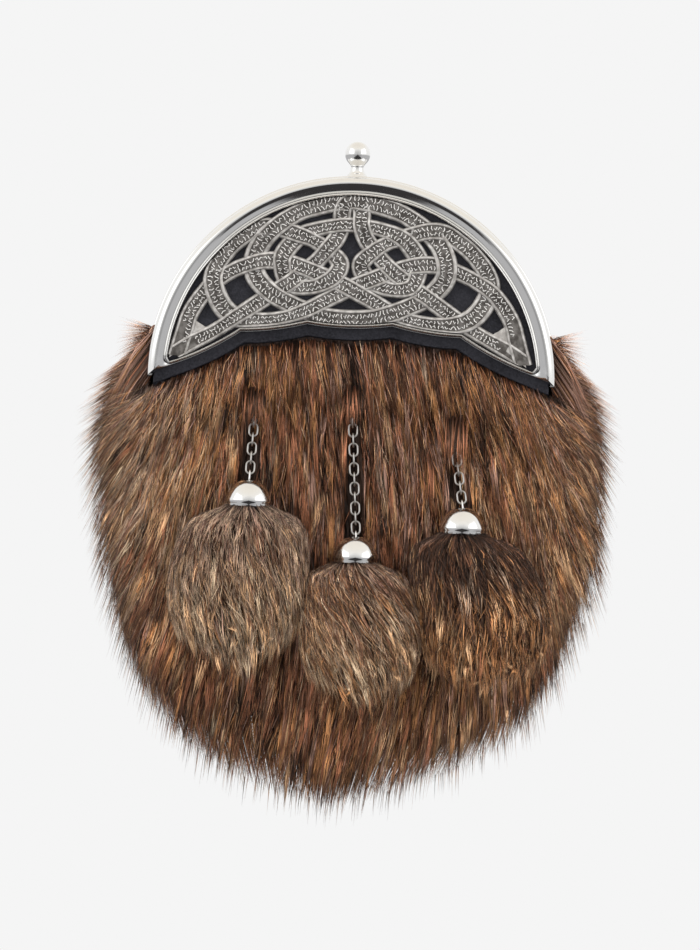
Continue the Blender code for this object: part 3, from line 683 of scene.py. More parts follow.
def strand_pattern(rings: int) -> tuple:
    """Work out the faces of one strand.

    Args:
        rings: Number of its rings before the pointed tip.

    Returns:
        Its corners' indices, their places across and along it, and its faces' sizes.
    """
    side = (-1.0, 0.0, 1.0)
    corners, across, along, sizes = [0, 1, 2], [*side], [0.0, 0.02, 0.0], [3]
    for ring in range(rings):
        for i, j in ((0, 1), (1, 2), (2, 0)):
            here, far = 3 * ring, 3 * ring + 3
            ends = [(far + i, side[i]), (far + j, side[j])]
            if ring == rings - 1:
                ends = [(far, (side[i] + side[j]) / 2.0)]
            corners += [here + j, here + i, *(end[0] for end in ends)]
            across += [side[j], side[i], *(end[1] for end in ends)]
            along += [ring / rings] * 2 + [(ring + 1) / rings] * len(ends)
            sizes.append(2 + len(ends))
    return np.array(corners), np.array(across), np.array(along), np.array(sizes)


def mesh_of(name: str, points: Array, corners: Array, sizes: Array, uv: Array) -> Piece:
    """Make a smooth piece from arrays.

    Args:
        name: Name of the piece.
        points: Its points in metres.
        corners: Index of the point at each corner, face after face.
        sizes: Number of corners of each face.
        uv: Place of each corner on the UV map.

    Returns:
        The new piece.
    """
    mesh = bpy.data.meshes.new(name)
    mesh.vertices.add(len(points))
    mesh.vertices.foreach_set("co", points.astype(np.float32).ravel())
    mesh.loops.add(len(corners))
    mesh.loops.foreach_set("vertex_index", corners.astype(np.int32))
    mesh.polygons.add(len(sizes))
    starts = np.concatenate(([0], np.cumsum(sizes)[:-1]))
    mesh.polygons.foreach_set("loop_start", starts.astype(np.int32))
    mesh.polygons.foreach_set("use_smooth", np.ones(len(sizes), bool))
    mesh.update(calc_edges=True)
    mesh.uv_layers.new(name=STRAND_UV).data.foreach_set("uv", uv.astype(np.float32).ravel())
    mesh.validate()
    return linked(name, mesh)


def hair(name: str, strands: Strands, pick: object = slice(None)) -> Piece:
    """Make one mesh of strands, each a closed three-sided spike with a pointed tip.

    Args:
        name: Name of the piece.
        strands: The strands, whose lines have one point more than their spikes have rings.
        pick: Which of the strands are taken.

    Returns:
        The piece, whose UV map holds each point's tone and its place from root to tip.
    """
    lines, widths, tones, outward = (values[pick] for values in strands[:4])
    lines = in_frame(lines)
    count, rings = len(lines), lines.shape[1] - 1
    along = unit(np.gradient(lines, axis=1))
    across = unit(np.cross(along, outward[:, None, :]))
    ridge = RIDGE_HEIGHT * np.cross(across, along)
    radius = (widths * MM / 2.0)[:, None, None] * np.array(TAPER[:rings])[None, :, None]
    shell = [lines[:, :rings] + radius * side[:, :rings] for side in (across, ridge, -across)]
    shell = np.stack(shell, axis=2).reshape(count, rings * 3, 3)
    points = np.concatenate((shell, lines[:, -1:]), axis=1).reshape(-1, 3)
    corners, u_side, v_along, sizes = strand_pattern(rings)
    first = np.arange(count)[:, None] * (rings * 3 + 1)
    u_place = tones[:, None] + TONE_HALF * u_side[None, :]
    uv = np.stack((u_place, np.broadcast_to(v_along, u_place.shape)), axis=2)
    return mesh_of(name, points, (first + corners[None, :]).ravel(), np.tile(sizes, count), uv)


def tone_of(families: Array, brightness: Array) -> Array:
    """Return places on the tone scale for colour families and a brightness from 0 to 1."""
    return (families + TONE_START + TONE_REACH * np.clip(brightness, 0.0, 1.0)) / len(HAIR_TONES)


RimRow = namedtuple("RimRow", "x z sag")
RIM = table(RimRow, [(73.6, 5.3, 1.2), (45.0, 19.6, 0.9), (17.4, 23.5, 1.35)])
RIM_WIDTH = 1.7
RIM_SHIFT = -1.5
ARCH_RADIUS = 83.0
WINDOW_RADIUS = 75.4
RIM_STEPS = 8


def rim_line(steps: int) -> Array:
    """Return the middle line of the lower rim from left to right, with steps for each arc."""
    corners = [*RIM, RimRow(-RIM[-1].x, RIM[-1].z, 0.0)]
    line = []
    for start, end in zip(corners, corners[1:]):
        for i in range(steps):
            share = i / steps
            sag = start.sag * 4.0 * share * (1.0 - share)
            line.append((blend(start.x, end.x, share), blend(start.z, end.z, share) - sag))
    half = line[:2 * steps] + line[2 * steps:2 * steps + steps // 2]
    half.append((0.0, RIM[-1].z - RIM[-1].sag))
    whole = both_sides(np.array(half))
    whole[:, 0] += RIM_SHIFT * (1.0 - np.abs(whole[:, 0]) / ARCH_RADIUS)
    return whole


@dataclass
class Cantle:
    """The polished arch: its cast rim with a bead round the window, its band, trim and finial."""

    arch_steps: int = 144
    corner_steps: int = 14
    rim_steps: int = 14
    bead: tuple = ((0.0, 1.5), (0.10, 2.1), (0.32, 2.6), (0.62, 2.85), (0.95, 2.75), (1.22, 2.3), (1.42, 1.7))
    slope: tuple = (
        (0.00, 1.55, 1.1), (0.05, 1.85, 1.1), (0.20, 2.45, 1.1), (0.36, 3.10, 1.1), (0.46, 3.48, 1.1),
        (0.56, 3.66, 1.1), (0.66, 3.60, 1.1), (0.77, 3.22, 1.05), (0.88, 2.55, 1.0), (0.95, 1.80, 0.9),
        (1.00, 0.90, 0.6),
    )
    band_front: float = -41.6
    band_rear: float = -20.5
    band_wall: float = 1.5
    rear_bead: float = 1.7
    band_inset: float = 0.2
    bead_out: float = 0.35
    bead_bulge: float = 0.95
    bead_turns: tuple = (-70.0, 100.0, 20.0)
    window_turn: float = 1.2
    widest_bead: float = 0.9
    trim_rounding: float = 0.45
    finial_depth: float = -31.0

    def stations(self) -> list:
        """Return the inner point, the outer point and the share of arch round the rim."""
        lower = rim_line(self.rim_steps)
        inner = shifted(lower, -RIM_WIDTH / 2.0)
        outer = shifted(lower, RIM_WIDTH / 2.0)
        result = [(a, b, 0.0) for a, b in zip(inner, outer)]
        start = math.degrees(math.atan2(inner[-1][1], inner[-1][0])) + self.window_turn
        end = 180.0 - math.degrees(math.atan2(inner[0][1], -inner[0][0])) - self.window_turn
        window = arc(WINDOW_RADIUS, start, end, self.arch_steps)
        edge = arc(ARCH_RADIUS, 0.0, 180.0, self.arch_steps)
        result += self.corner(inner[-1], outer[-1], window[0], edge[0])
        result += [(inside, outside, 1.0) for inside, outside in zip(window, edge)]
        return result + self.corner(inner[0], outer[0], window[-1], edge[-1])[::-1]

    def corner(self, inside: Array, outside: Array, window: Array, foot: Array) -> list:
        """Return the stations that fan out from the end of the lower rim to the foot of the arch."""
        shares = [i / self.corner_steps for i in range(1, self.corner_steps)]
        return [(blend(inside, window, share), blend(outside, foot, share), share ** 1.5) for share in shares]

    def rim(self) -> Piece:
        """Return the cast rim, with its bead and its sloped and rounded face."""
        rings = []
        edge = self.bead[-1][0]
        for inner, outer, arch in self.stations():
            reach = float(np.linalg.norm(outer - inner))
            way = (outer - inner) / reach
            most = self.widest_bead * reach
            places = [(min(distance, most), rise) for distance, rise in self.bead]
            places += [(min(edge, most) + max(0.0, reach - edge) * share, blend(low, high, arch))
                       for share, high, low in self.slope]
            ring = [(*outer, 0.0), (*inner, 0.0), *((*(inner + way * place), rise) for place, rise in places)]
            rings.append([(x, CAST_BACK - rise, z) for x, z, rise in ring])
        return loft("cantle_rim", np.array(rings), hoop=True)

    def band(self) -> Piece:
        """Return the deep band behind the rim, with a rolled bead along its rear edge."""
        outer = ARCH_RADIUS - self.band_inset
        inner = outer - self.band_wall
        bead = self.rear_bead
        section = [(inner, self.band_front), (outer, self.band_front), (outer, self.band_rear - bead * 1.6)]
        for turn in np.radians(np.arange(*self.bead_turns)):
            section.append((outer + self.bead_out + self.bead_bulge * math.cos(turn),
                            self.band_rear - bead * 0.6 + 0.6 * bead * math.sin(turn)))
        section.append((inner, self.band_rear))
        rings = [[(r * x, y, r * z) for r, y in section] for x, z in arc(1.0, 0.0, 180.0, self.arch_steps)]
        return loft("cantle_band", np.array(rings))

    def build(self, polish: Material, leather: Material) -> None:
        """Build and dress the whole cantle apart from its knotwork."""
        arch = joined("cantle_arch", [self.rim(), self.band()])
        finish_piece(arch, polish, ("cantle_frame",), smooth=TURNED_ANGLE)
        trim = rounded_copy("cantle_trim", "cantle_leather", self.trim_rounding, angle=50.0)
        finish_piece(trim, leather, ("cantle_leather",))
        ball = turned("finial_ball", FINIAL_PROFILE, (0.0, self.finial_depth, 0.0), 48, spacing=0.35)
        finish_piece(ball, polish, ("ball_finial",), smooth=TURNED_ANGLE)


FINIAL_PROFILE = table(Turn, [
    (4.2, 83.8), (3.9, 84.4), (3.2, 85.2), (2.8, 86.2), (2.6, 87.2), (2.7, 88.0),
    (3.4, 88.9), (4.4, 90.1), (5.0, 91.6), (5.1, 92.9), (4.9, 94.3), (4.3, 95.7),
    (3.2, 96.9), (1.7, 97.7), (0.4, 97.9),
])

KnotRow = namedtuple("KnotRow", "x z level width")
STEM_FROM_CORNER = table(KnotRow, [
    (72.0, 9.6, -0.7, 6.0), (64.5, 14.3, -0.4, 6.0), (54.5, 19.5, 0.0, 5.4),
    (46.1, 24.7, -1.0, 6.0), (38.4, 29.9, 0.0, 6.4), (31.2, 34.9, 1.0, 6.4),
    (25.1, 38.9, -1.0, 6.6), (21.4, 41.8, 0.0, 6.6), (17.6, 44.8, 1.0, 6.6),
    (13.2, 48.9, 0.0, 6.2), (9.8, 53.0, -1.0, 6.6), (6.1, 57.8, 0.0, 6.8),
    (4.0, 63.5, 1.0, 6.8), (4.0, 68.5, 0.1, 6.8), (2.7, 71.9, -0.5, 6.6),
    (0.0, 73.2, -1.0, 6.6),
])
RING_FROM_TOP = table(KnotRow, [
    (0.0, 73.2, 1.0, 7.4), (7.2, 72.6, 0.3, 7.4), (14.4, 70.8, 0.0, 7.4),
    (22.0, 67.9, -0.2, 6.8), (31.1, 61.5, -1.0, 7.4), (36.8, 55.0, 0.2, 8.0),
    (39.3, 47.0, 1.0, 8.2), (37.8, 40.7, 0.0, 8.1), (31.6, 34.6, -1.0, 7.4),
    (24.6, 30.9, 0.2, 7.0), (17.5, 27.9, 1.0, 7.2), (9.1, 25.5, 0.2, 7.4),
    (0.0, 24.9, 0.0, 7.4),
])
SIDE_FROM_CORNER = table(KnotRow, [
    (71.6, 7.8, 0.0, 6.8), (70.2, 12.6, 0.0, 6.8), (68.5, 18.5, 0.0, 6.8),
    (66.5, 25.4, 0.0, 6.5), (62.2, 32.6, 0.2, 6.3), (57.2, 38.1, 1.0, 6.2),
    (49.0, 43.1, 0.0, 5.8), (39.3, 47.0, -1.0, 6.2), (33.6, 48.1, 0.0, 6.6),
    (28.2, 47.9, 1.0, 6.8), (23.2, 46.9, 0.0, 6.4), (17.9, 45.1, -1.0, 6.4),
    (13.0, 43.2, 0.0, 6.6), (8.0, 41.1, 1.0, 6.6), (4.2, 39.6, 0.0, 6.6),
    (0.0, 37.6, -1.0, 6.6),
])
LOOP_FROM_BOTTOM = table(KnotRow, [
    (0.0, 37.6, 1.0, 6.4), (8.8, 33.0, 0.0, 6.2), (17.3, 28.4, -1.0, 6.0),
    (26.5, 25.1, 0.0, 5.2), (36.8, 23.8, 0.2, 5.6), (46.4, 24.7, 1.0, 7.6),
    (53.0, 29.6, 0.0, 8.0), (57.0, 38.1, -1.0, 7.8), (55.6, 45.4, 0.0, 7.0),
    (49.6, 53.2, 0.2, 6.8), (43.6, 58.0, 0.0, 6.8), (38.4, 61.4, 0.2, 6.4),
    (31.3, 61.8, 1.0, 6.6), (21.0, 58.8, -1.0, 6.4), (15.2, 56.7, 0.0, 5.6),
    (9.7, 53.2, 1.0, 6.2), (4.2, 47.3, 0.0, 7.0), (8.0, 41.1, -1.0, 6.8),
    (16.6, 37.7, 0.0, 5.8), (25.2, 39.1, 1.0, 6.4), (28.0, 47.9, -1.0, 7.0),
    (26.0, 53.0, 0.0, 7.4), (20.8, 58.5, 1.0, 6.8), (13.0, 61.7, 0.0, 5.6),
    (4.0, 63.4, -1.0, 5.6), (0.0, 63.5, 0.0, 5.6),
])

# Short curved dashes that stand for the cast marks, along and across their cell, each from -1 to 1
DASHES = [
    [(-0.95, 0.30), (-0.1, 0.85), (0.75, 0.60)], [(-0.65, 0.95), (0.0, 0.40), (0.85, 0.20)],
    [(-0.85, 0.55), (-0.1, 0.22), (0.55, 0.85)], [(-0.35, 0.12), (0.2, 0.50), (-0.15, 0.98)],
]
# How far from the middle each band carries dashes
DASH_REACH = (62.0, 67.0)
CORNER_PLATE = ((72.8, 7.4), (68.9, 21.5), (64.5, 24.5), (61.0, 21.9), (57.0, 19.6), (64.0, 14.0))
# Raised heights across a dash and up a corner plate, as the silver's relief shows them
DASH_RELIEF = np.array((0.15, 1.0, 1.0, 0.15))
PLATE_RELIEF = np.array((0.2, 0.5, 0.52))


@dataclass
class Knotwork:
    """The pierced interlace: bands that go over and under, with raised dashes in their grooves."""

    step: float = 0.9
    shift: float = -1.6
    band_rise: float = 1.7
    weave_rise: float = 0.45
    widening: float = 0.3
    web: float = 0.30
    web_rise: float = 0.85
    groove: float = 0.40
    margin: float = 1.15
    widest_groove: float = 2.6
    cell: float = 1.62
    stroke: float = 0.20
    mark_rise: float = 0.42
    clearance: float = 0.25
    inset: float = 1.7
    plate_share: float = 0.94
    plate_rises: tuple = (0.0, 0.98, 1.12)
    inset_from: float = 46.0
    inset_over: float = 14.0
    dash_length: float = 0.46
    dash_margin: float = 0.22
    jitter: float = 0.07
    overhang: float = 1.0

    def strand(self, outer: list, inner: list) -> Array:
        """Return points of a whole strand: x, z, level and width, from the left corner to the right."""
        left_outer, left_inner = (
            [row._replace(x=-row.x, level=-row.level) for row in rows] for rows in (outer, inner)
        )
        path = spline(left_outer + inner[1:] + left_inner[-2::-1] + outer[-2::-1], self.step)
        path[:, 3] += self.widening
        path[:, 0] += self.inset * np.clip((-path[:, 0] - self.inset_from) / self.inset_over, 0.0, 1.0)
        return path

    def kept(self, points: Array) -> Array:
        """Return points of (x, rise, z) moved to the nearest place inside the window."""
        lower = shifted(rim_line(RIM_STEPS), -RIM_WIDTH / 2.0 - self.clearance)
        floor = np.interp(points[:, 0], lower[:, 0], lower[:, 1])
        result = points.copy()
        radius = np.hypot(result[:, 0], result[:, 2])
        limit = WINDOW_RADIUS - self.clearance
        scale = np.minimum(1.0, limit / np.maximum(radius, 1e-6))
        result[:, 0] *= scale
        result[:, 2] = np.maximum(result[:, 2] * scale, floor)
        return result

    def ways(self, path: Array) -> tuple:
        """Return a band's places and headings, the half-width of its groove and the rise of its front."""
        place = path[:, :2] + np.array((self.shift, 0.0))
        groove = np.minimum(path[:, 3] / 2.0 - self.margin, self.widest_groove)
        return place, along_line(place), groove, self.band_rise + self.weave_rise * path[:, 2]

    def band(self, path: Array) -> tuple:
        """Return the rings of a band and how far each of their points is raised."""
        place, along, groove, front = self.ways(path)
        across = perpendicular(along)
        half = path[:, 3] / 2.0
        web = half + self.web
        ledge = np.full_like(front, self.web_rise)
        # Half of the section from the web to the groove: reach, rise and relief
        profile = [
            (web, 0.0 * front, 0.1), (web, ledge - 0.15, 0.25), (web - 0.12, ledge, 0.36),
            (half + 0.05, ledge + 0.02, 0.22), (half, front - 0.34, 0.3), (half - 0.12, front - 0.10, 0.55),
            (half - 0.38, front, 0.60), (groove + 0.30, front - 0.01, 0.56),
            (groove + 0.14, front - 0.14, 0.4), (groove, front - self.groove, 0.12),
        ]
        rings, relief = [], []
        for side, rows in ((-1.0, profile), (1.0, profile[::-1])):
            for reach, rise, raised in rows:
                spot = place + across * (side * reach)[:, None]
                rings.append(np.stack((spot[:, 0], rise, spot[:, 1]), axis=1))
                relief.append(np.full(len(path), raised))
        return np.stack(rings, axis=1), np.stack(relief, axis=1)

    def dashes(self, path: Array, rng: Rng) -> list:
        """Return the rings of each dash along a band."""
        place, along, groove, front = self.ways(path)
        length = distances(place)
        lane = np.column_stack((place, along, groove - self.dash_margin, front - self.groove))
        cells = int(length[-1] / self.cell)
        result = []
        for k in range(cells):
            middle = (k + 0.5) * length[-1] / cells
            for side in (-1.0, 1.0):
                dash = DASHES[int(rng.integers(len(DASHES)))]
                strokes = np.array(dash) * np.array((rng.choice((-1.0, 1.0)), side))
                strokes += rng.uniform(-self.jitter, self.jitter, strokes.shape)
                strokes *= np.array((self.dash_length * self.cell, 1.0))
                result.append(self.stroke_rings(strokes, middle, length, lane))
        return result

    def stroke_rings(self, strokes: Array, middle: float, length: Array, lane: Array) -> Array:
        """Lay a raised stroke along a band.

        Args:
            strokes: Points of the stroke, along and across its cell.
            middle: How far along the band the middle of the cell lies.
            length: How far along the band each row of the lane lies.
            lane: Rows of the groove's place, heading, half-width and floor.

        Returns:
            The stroke's rings.
        """
        flat = strokes * np.array((1.0, float(np.interp(middle, length, lane[:, 4]))))
        normal = perpendicular(along_line(flat))
        rings = []
        for offset, rise in ((-1.0, -0.1), (-0.7, self.mark_rise), (0.7, self.mark_rise), (1.0, -0.1)):
            spot = flat + normal * offset * self.stroke
            here = read_off(np.clip(middle + spot[:, 0], 0.0, length[-1]), length, lane)
            x, z = (here[:, :2] + perpendicular(unit(here[:, 2:4])) * spot[:, 1:2]).T
            rings.append(np.stack((x, here[:, 5] + rise, z), axis=1))
        return np.stack(rings, axis=1)

    def outside(self, points: Array) -> bool:
        """Return whether a dash leaves the window by more than can be pushed back."""
        flat = points.reshape(-1, 3)
        return bool(np.abs(self.kept(flat) - flat).max() > self.overhang)

    def plate(self, side: float) -> Array:
        """Return the rings of the plain plate in one corner of the window."""
        outline = np.array(CORNER_PLATE) * np.array((side, 1.0)) + np.array((self.shift, 0.0))
        inside = blend(outline.mean(axis=0), outline, self.plate_share)
        return np.stack([np.stack((line[:, 0], np.full(len(line), rise), line[:, 1]), axis=1)
                         for line, rise in zip((outline, outline, inside), self.plate_rises)])

    def mesh(self, name: str, rings: Array, relief: Array) -> Piece:
        """Make a closed piece with a relief attribute.

        Args:
            name: Name of the piece.
            rings: Rings of (x, rise, z) points.
            relief: How far each point is raised, from 0 to 1.

        Returns:
            The new piece.
        """
        flat = self.kept(rings.reshape(-1, 3))
        flat[:, 1] = CAST_BACK - flat[:, 1]
        obj = loft(name, flat.reshape(rings.shape))
        raised = obj.data.attributes.new("relief", "FLOAT", "POINT")
        raised.data.foreach_set("value", relief.ravel().astype(np.float32))
        return obj

    def build(self, silver: Material) -> None:
        """Build and dress the interlace."""
        rng = np.random.default_rng(SEED)
        pieces = []
        for number, (outer, inner) in enumerate(((STEM_FROM_CORNER, RING_FROM_TOP),
                                                 (SIDE_FROM_CORNER, LOOP_FROM_BOTTOM))):
            path = self.strand(outer, inner)
            rings, relief = self.band(path)
            pieces.append(self.mesh(f"knot_band_{number}", rings, relief))
            for rings in self.dashes(path, rng):
                if not self.outside(rings) and abs(rings[:, :, 0].mean() - self.shift) < DASH_REACH[number]:
                    relief = np.broadcast_to(DASH_RELIEF, rings.shape[:2])
                    pieces.append(self.mesh("knot_dash", rings, relief))
        for side in (-1.0, 1.0):
            rings = self.plate(side)
            relief = np.broadcast_to(PLATE_RELIEF[:, None], rings.shape[:2])
            pieces.append(self.mesh("knot_plate", rings, relief))
        finish_piece(joined("knotwork", pieces), silver, ("knot_plate",), smooth=CAST_ANGLE)


TasselRow = namedtuple("TasselRow", "name links fur_x half_width drop cap_lift sweep")
CAP_PROFILE = table(Turn, [
    (0.8, -0.7), (2.6, -0.95), (4.2, -1.6), (5.7, -2.65), (7.0, -4.05), (8.05, -5.8),
    (8.8, -7.5), (9.15, -8.8), (9.15, -9.7), (8.85, -10.5), (8.95, -11.0),
    (8.85, -11.4), (8.4, -11.2), (8.2, -10.0), (7.4, -6.4), (4.6, -3.9), (1.0, -3.3),
])
STAPLE_PROFILE = table(Turn, [(3.6, 0.0), (3.6, 0.7), (3.2, 1.1), (1.5, 1.6), (1.2, 2.0)])


@dataclass
class Chains:
    """Three chains of separate links, each from a staple in the fur down to a tassel's cap."""

    length: float = 6.1
    width: float = 4.2
    wire: float = 0.38
    link_sides: int = 24
    wire_sides: int = 8
    cap_sides: int = 48
    post_sides: int = 20
    ring_spacing: float = 0.5

    def link(self) -> Piece:
        """Return one link at the origin: a ring of wire that is drawn out to an oval."""
        bend = self.width / 2.0 - self.wire
        straight = (self.length / 2.0 - self.wire - bend) * MM
        bpy.ops.object.select_all(action="DESELECT")
        bpy.ops.mesh.primitive_torus_add(major_radius=bend * MM, minor_radius=self.wire * MM,
                                         major_segments=self.link_sides, minor_segments=self.wire_sides)
        obj = bpy.context.object
        with edit_mode():
            for way in (1.0, -1.0):
                bm = bmesh.from_edit_mesh(obj.data)
                for vertex in bm.verts:
                    vertex.select_set(vertex.co.y * way > MERGE_REACH)
                bm.select_flush_mode()
                bmesh.update_edit_mesh(obj.data)
                bpy.ops.transform.translate(value=(0.0, straight * way, 0.0))
        return obj

    @staticmethod
    def placed(pattern: Piece, name: str, centre: Array, along: Vector, faces_front: bool) -> Piece:
        """Copy the link to a place in a chain.

        Args:
            pattern: The link at the origin.
            name: Name of the copy.
            centre: Its middle, in millimetres from the arch's centre.
            along: The way that the chain runs.
            faces_front: True where the link's broad side faces the front.

        Returns:
            The copy.
        """
        sideways = along.cross(Vector((0.0, -1.0, 0.0))).normalized()
        facing = along.cross(sideways)
        across, through = (sideways, facing) if faces_front else (facing, sideways)
        turn = Matrix((across, along, through)).transposed().to_4x4()
        obj = linked(name, pattern.data.copy())
        obj.data.transform(Matrix.Translation(Vector(in_frame(centre))) @ turn)
        return obj

    def build(self, polish: Material, dull: Material) -> None:
        """Build and dress the chains, the staples and the caps."""
        pattern = self.link()
        for row in TASSELS:
            nodes = [f"chain_{row.name}_link_{count:02d}" for count in range(1, row.links + 1)]
            places = [sum(span(node)) / 2.0 for node in nodes]
            along = Vector(unit(places[-1] - places[0]))
            pitch = (places[-1] - places[0]) / (row.links - 1)
            links = [self.placed(pattern, "link", place, along, count % 2 == 1)
                     for count, place in enumerate(places, start=1)]
            chain = joined(f"chain_{row.name}", links)
            finish_piece(chain, dull, tuple(nodes), smooth=WIRE_ANGLE)
            self.staple(row, pattern, places[-1] + pitch, along, dull)
            self.cap(row, pattern, places[0] - pitch, along, polish)
        bpy.data.objects.remove(pattern)

    def staple(self, row: TasselRow, pattern: Piece, eye: Array, along: Vector, dull: Material) -> None:
        """Build the post and eye that a chain hangs from.

        Args:
            row: The tassel's row.
            pattern: The link that the eye is copied from.
            eye: Middle of the eye.
            along: The way that the chain runs.
            dull: Material of the chain.
        """
        ring = self.placed(pattern, "staple_eye", eye, along, (row.links + 1) % 2 == 1)
        reach = TRIM_BACK - eye[1] - self.width / 2.0 + self.wire
        profile = [*STAPLE_PROFILE, Turn(STAPLE_PROFILE[-1].radius, reach)]
        post = turned("staple_post", profile, (eye[0], TRIM_BACK, eye[2]), self.post_sides,
                      forward=True, spacing=self.ring_spacing)
        piece = joined(f"staple_{row.name}", [post, ring])
        finish_piece(piece, dull, (f"chain_staple_{row.name}",), smooth=TURNED_ANGLE)

    def cap(self, row: TasselRow, pattern: Piece, eye: Array, along: Vector, polish: Material) -> None:
        """Build the bell-shaped cap with the eye on its top.

        Args:
            row: The tassel's row.
            pattern: The link that the eye is copied from.
            eye: Middle of the eye.
            along: The way that the chain runs.
            polish: Material of the cap.
        """
        ring = self.placed(pattern, "cap_eye", eye, along, False)
        centre = eye + np.array((0.0, 0.0, row.cap_lift))
        bell = turned("cap_bell", CAP_PROFILE, centre, self.cap_sides, spacing=self.ring_spacing)
        piece = joined(f"cap_{row.name}", [bell, ring])
        finish_piece(piece, polish, (f"tassel_cap_{row.name}",), smooth=TURNED_ANGLE)


TASSELS = table(TasselRow, [
    ("left", 5, -44.0, 25.2, 72.0, -0.4, (0.1, 1.3)),
    ("middle", 11, 7.2, 22.4, 62.0, 1.2, (0.8, 2.0)),
    ("right", 5, 57.2, 24.4, 71.0, 0.4, (-0.8, 0.9)),
])

# Right half of the pouch's outline, as (x, z) from its side to its bottom
POUCH_BODY = [
    (80.0, 0.0), (84.0, -20.0), (87.0, -45.0), (85.0, -75.0), (76.0, -100.0), (58.0, -119.0),
    (32.0, -131.0), (0.0, -135.0),
]
BODY_RADIUS = 80.0
SHOULDER_HEIGHT = 20.0
# Right half of the line that the tips of the fur reach, as (x, z) from the shoulder to the bottom
FUR_EDGE = [
    (82.0, 19.0), (84.5, 11.0), (94.0, 2.0), (99.5, -8.0), (102.5, -24.0), (103.2, -36.0), (102.0, -56.0),
    (100.0, -82.0), (92.5, -103.5), (85.0, -122.0), (71.0, -142.0), (47.0, -158.0), (21.0, -167.5),
    (0.0, -171.5),
]
# Where the fur beside the arch starts, from the shoulder down
ShoulderRow = namedtuple("ShoulderRow", "height depth")
SHOULDER = table(ShoulderRow, [
    (18.0, -8.0), (14.5, -11.5), (8.5, -14.5),
    (1.5, -16.5), (-3.8, -25.5), (-4.6, -36.0),
])
TRIM_RADIUS = 80.6
TRIM_DROP = 4.7
TRIM_END = -3.4

# Where each colour family gathers in the coat: middle, half-widths and strength of its patches
Patch = namedtuple("Patch", "x z wide tall strength")
COAT_PATCHES = {
    Hair.BLACK: table(Patch, [
        (58.0, -24.0, 6.0, 14.0, 9.0), (3.0, 2.0, 4.0, 14.0, 7.0), (46.0, -8.0, 5.0, 12.0, 5.0),
        (-46.0, 3.0, 4.0, 8.0, 6.0), (-12.0, -78.0, 10.0, 26.0, 2.5), (30.0, -96.0, 6.0, 24.0, 3.0),
    ]),
    Hair.UMBER: table(Patch, [
        (90.0, -14.0, 18.0, 18.0, 5.0), (-80.0, -70.0, 24.0, 40.0, 1.6), (84.0, -60.0, 30.0, 46.0, 1.3),
        (-8.0, -2.0, 66.0, 18.0, 2.2), (-10.0, -120.0, 60.0, 30.0, 2.2),
    ]),
    Hair.RUST: table(Patch, [
        (0.0, -40.0, 44.0, 48.0, 2.6), (-20.0, -130.0, 70.0, 34.0, 1.8),
    ]),
    Hair.AMBER: table(Patch, [
        (0.0, -148.0, 66.0, 24.0, 1.8), (82.0, -56.0, 22.0, 44.0, 1.5), (-34.0, 2.0, 16.0, 14.0, 6.0),
        (-56.0, -18.0, 12.0, 26.0, 3.4), (52.0, 0.0, 18.0, 16.0, 4.2), (72.0, -24.0, 14.0, 18.0, 3.2),
        (60.0, -132.0, 26.0, 20.0, 2.6), (-20.0, -158.0, 60.0, 14.0, 1.6),
    ]),
    Hair.TAN: table(Patch, [
        (-88.0, -55.0, 26.0, 44.0, 2.6), (90.0, -62.0, 26.0, 42.0, 3.2), (8.0, -150.0, 66.0, 24.0, 1.6),
        (-60.0, -40.0, 14.0, 34.0, 1.6), (62.0, -140.0, 20.0, 14.0, 1.2),
    ]),
    Hair.ASH: table(Patch, [
        (-92.0, -8.0, 22.0, 18.0, 4.0), (-92.0, -55.0, 24.0, 44.0, 2.2), (98.0, -50.0, 16.0, 40.0, 1.2),
    ]),
    Hair.MAUVE: table(Patch, [
        (-92.0, 8.0, 16.0, 20.0, 9.0), (92.0, 4.0, 14.0, 20.0, 9.0), (24.0, -42.0, 20.0, 36.0, 1.5),
    ]),
    Hair.STRAW: table(Patch, [(-95.0, -48.0, 22.0, 34.0, 0.8)]),
}
# Shares of the colour families where no patch lies, in the families' order
BASE_SHARES = (0.60, 0.75, 0.95, 0.50, 0.42, 0.14, 0.55, 0.05)

# Partings in the coat round the chains, from their top to the caps, where the hair is painted black as
# painted shade
Parting = namedtuple("Parting", "top_x top_z low_x low_z top_half low_half")
PARTINGS = table(Parting, [
    (-40.6, -9.0, -40.2, -44.0, 1.5, 6.5), (1.6, -8.0, 3.6, -68.0, 2.0, 6.0),
    (43.4, -36.0, 46.5, -54.0, 1.5, 7.0),
])

# Hair that hides the upper ends of the chains, from its roots to its tips
Veil = namedtuple("Veil", "x high low")
VEILS = table(Veil, [(-39.6, -9.0, -20.5), (1.2, -7.5, -20.0), (43.4, -18.0, -36.0)])
# Shares down the veils' hair and its depths there
VEIL_DEPTHS = ((0.0, -46.0), (0.42, -55.6), (1.0, -56.6))
# How far a parting reaches past its two ends
PARTING_OVER, PARTING_UNDER = 4.0, 6.0
# Share of the hairs that take another lock's colour
STRAY_SHARE = 0.16
# The coat's width, and the height that its outline turns round
COAT_WIDTH = 200.0
COAT_MIDDLE = -60.0
FRONT = np.array((0.0, -1.0, 0.0))


def away_from_middle(x: Array, y: Array, z: Array) -> Array:
    """Return unit vectors that point out of the coat's outline, with a part y along the depth."""
    return unit(np.stack((x, y, z - COAT_MIDDLE), axis=-1))


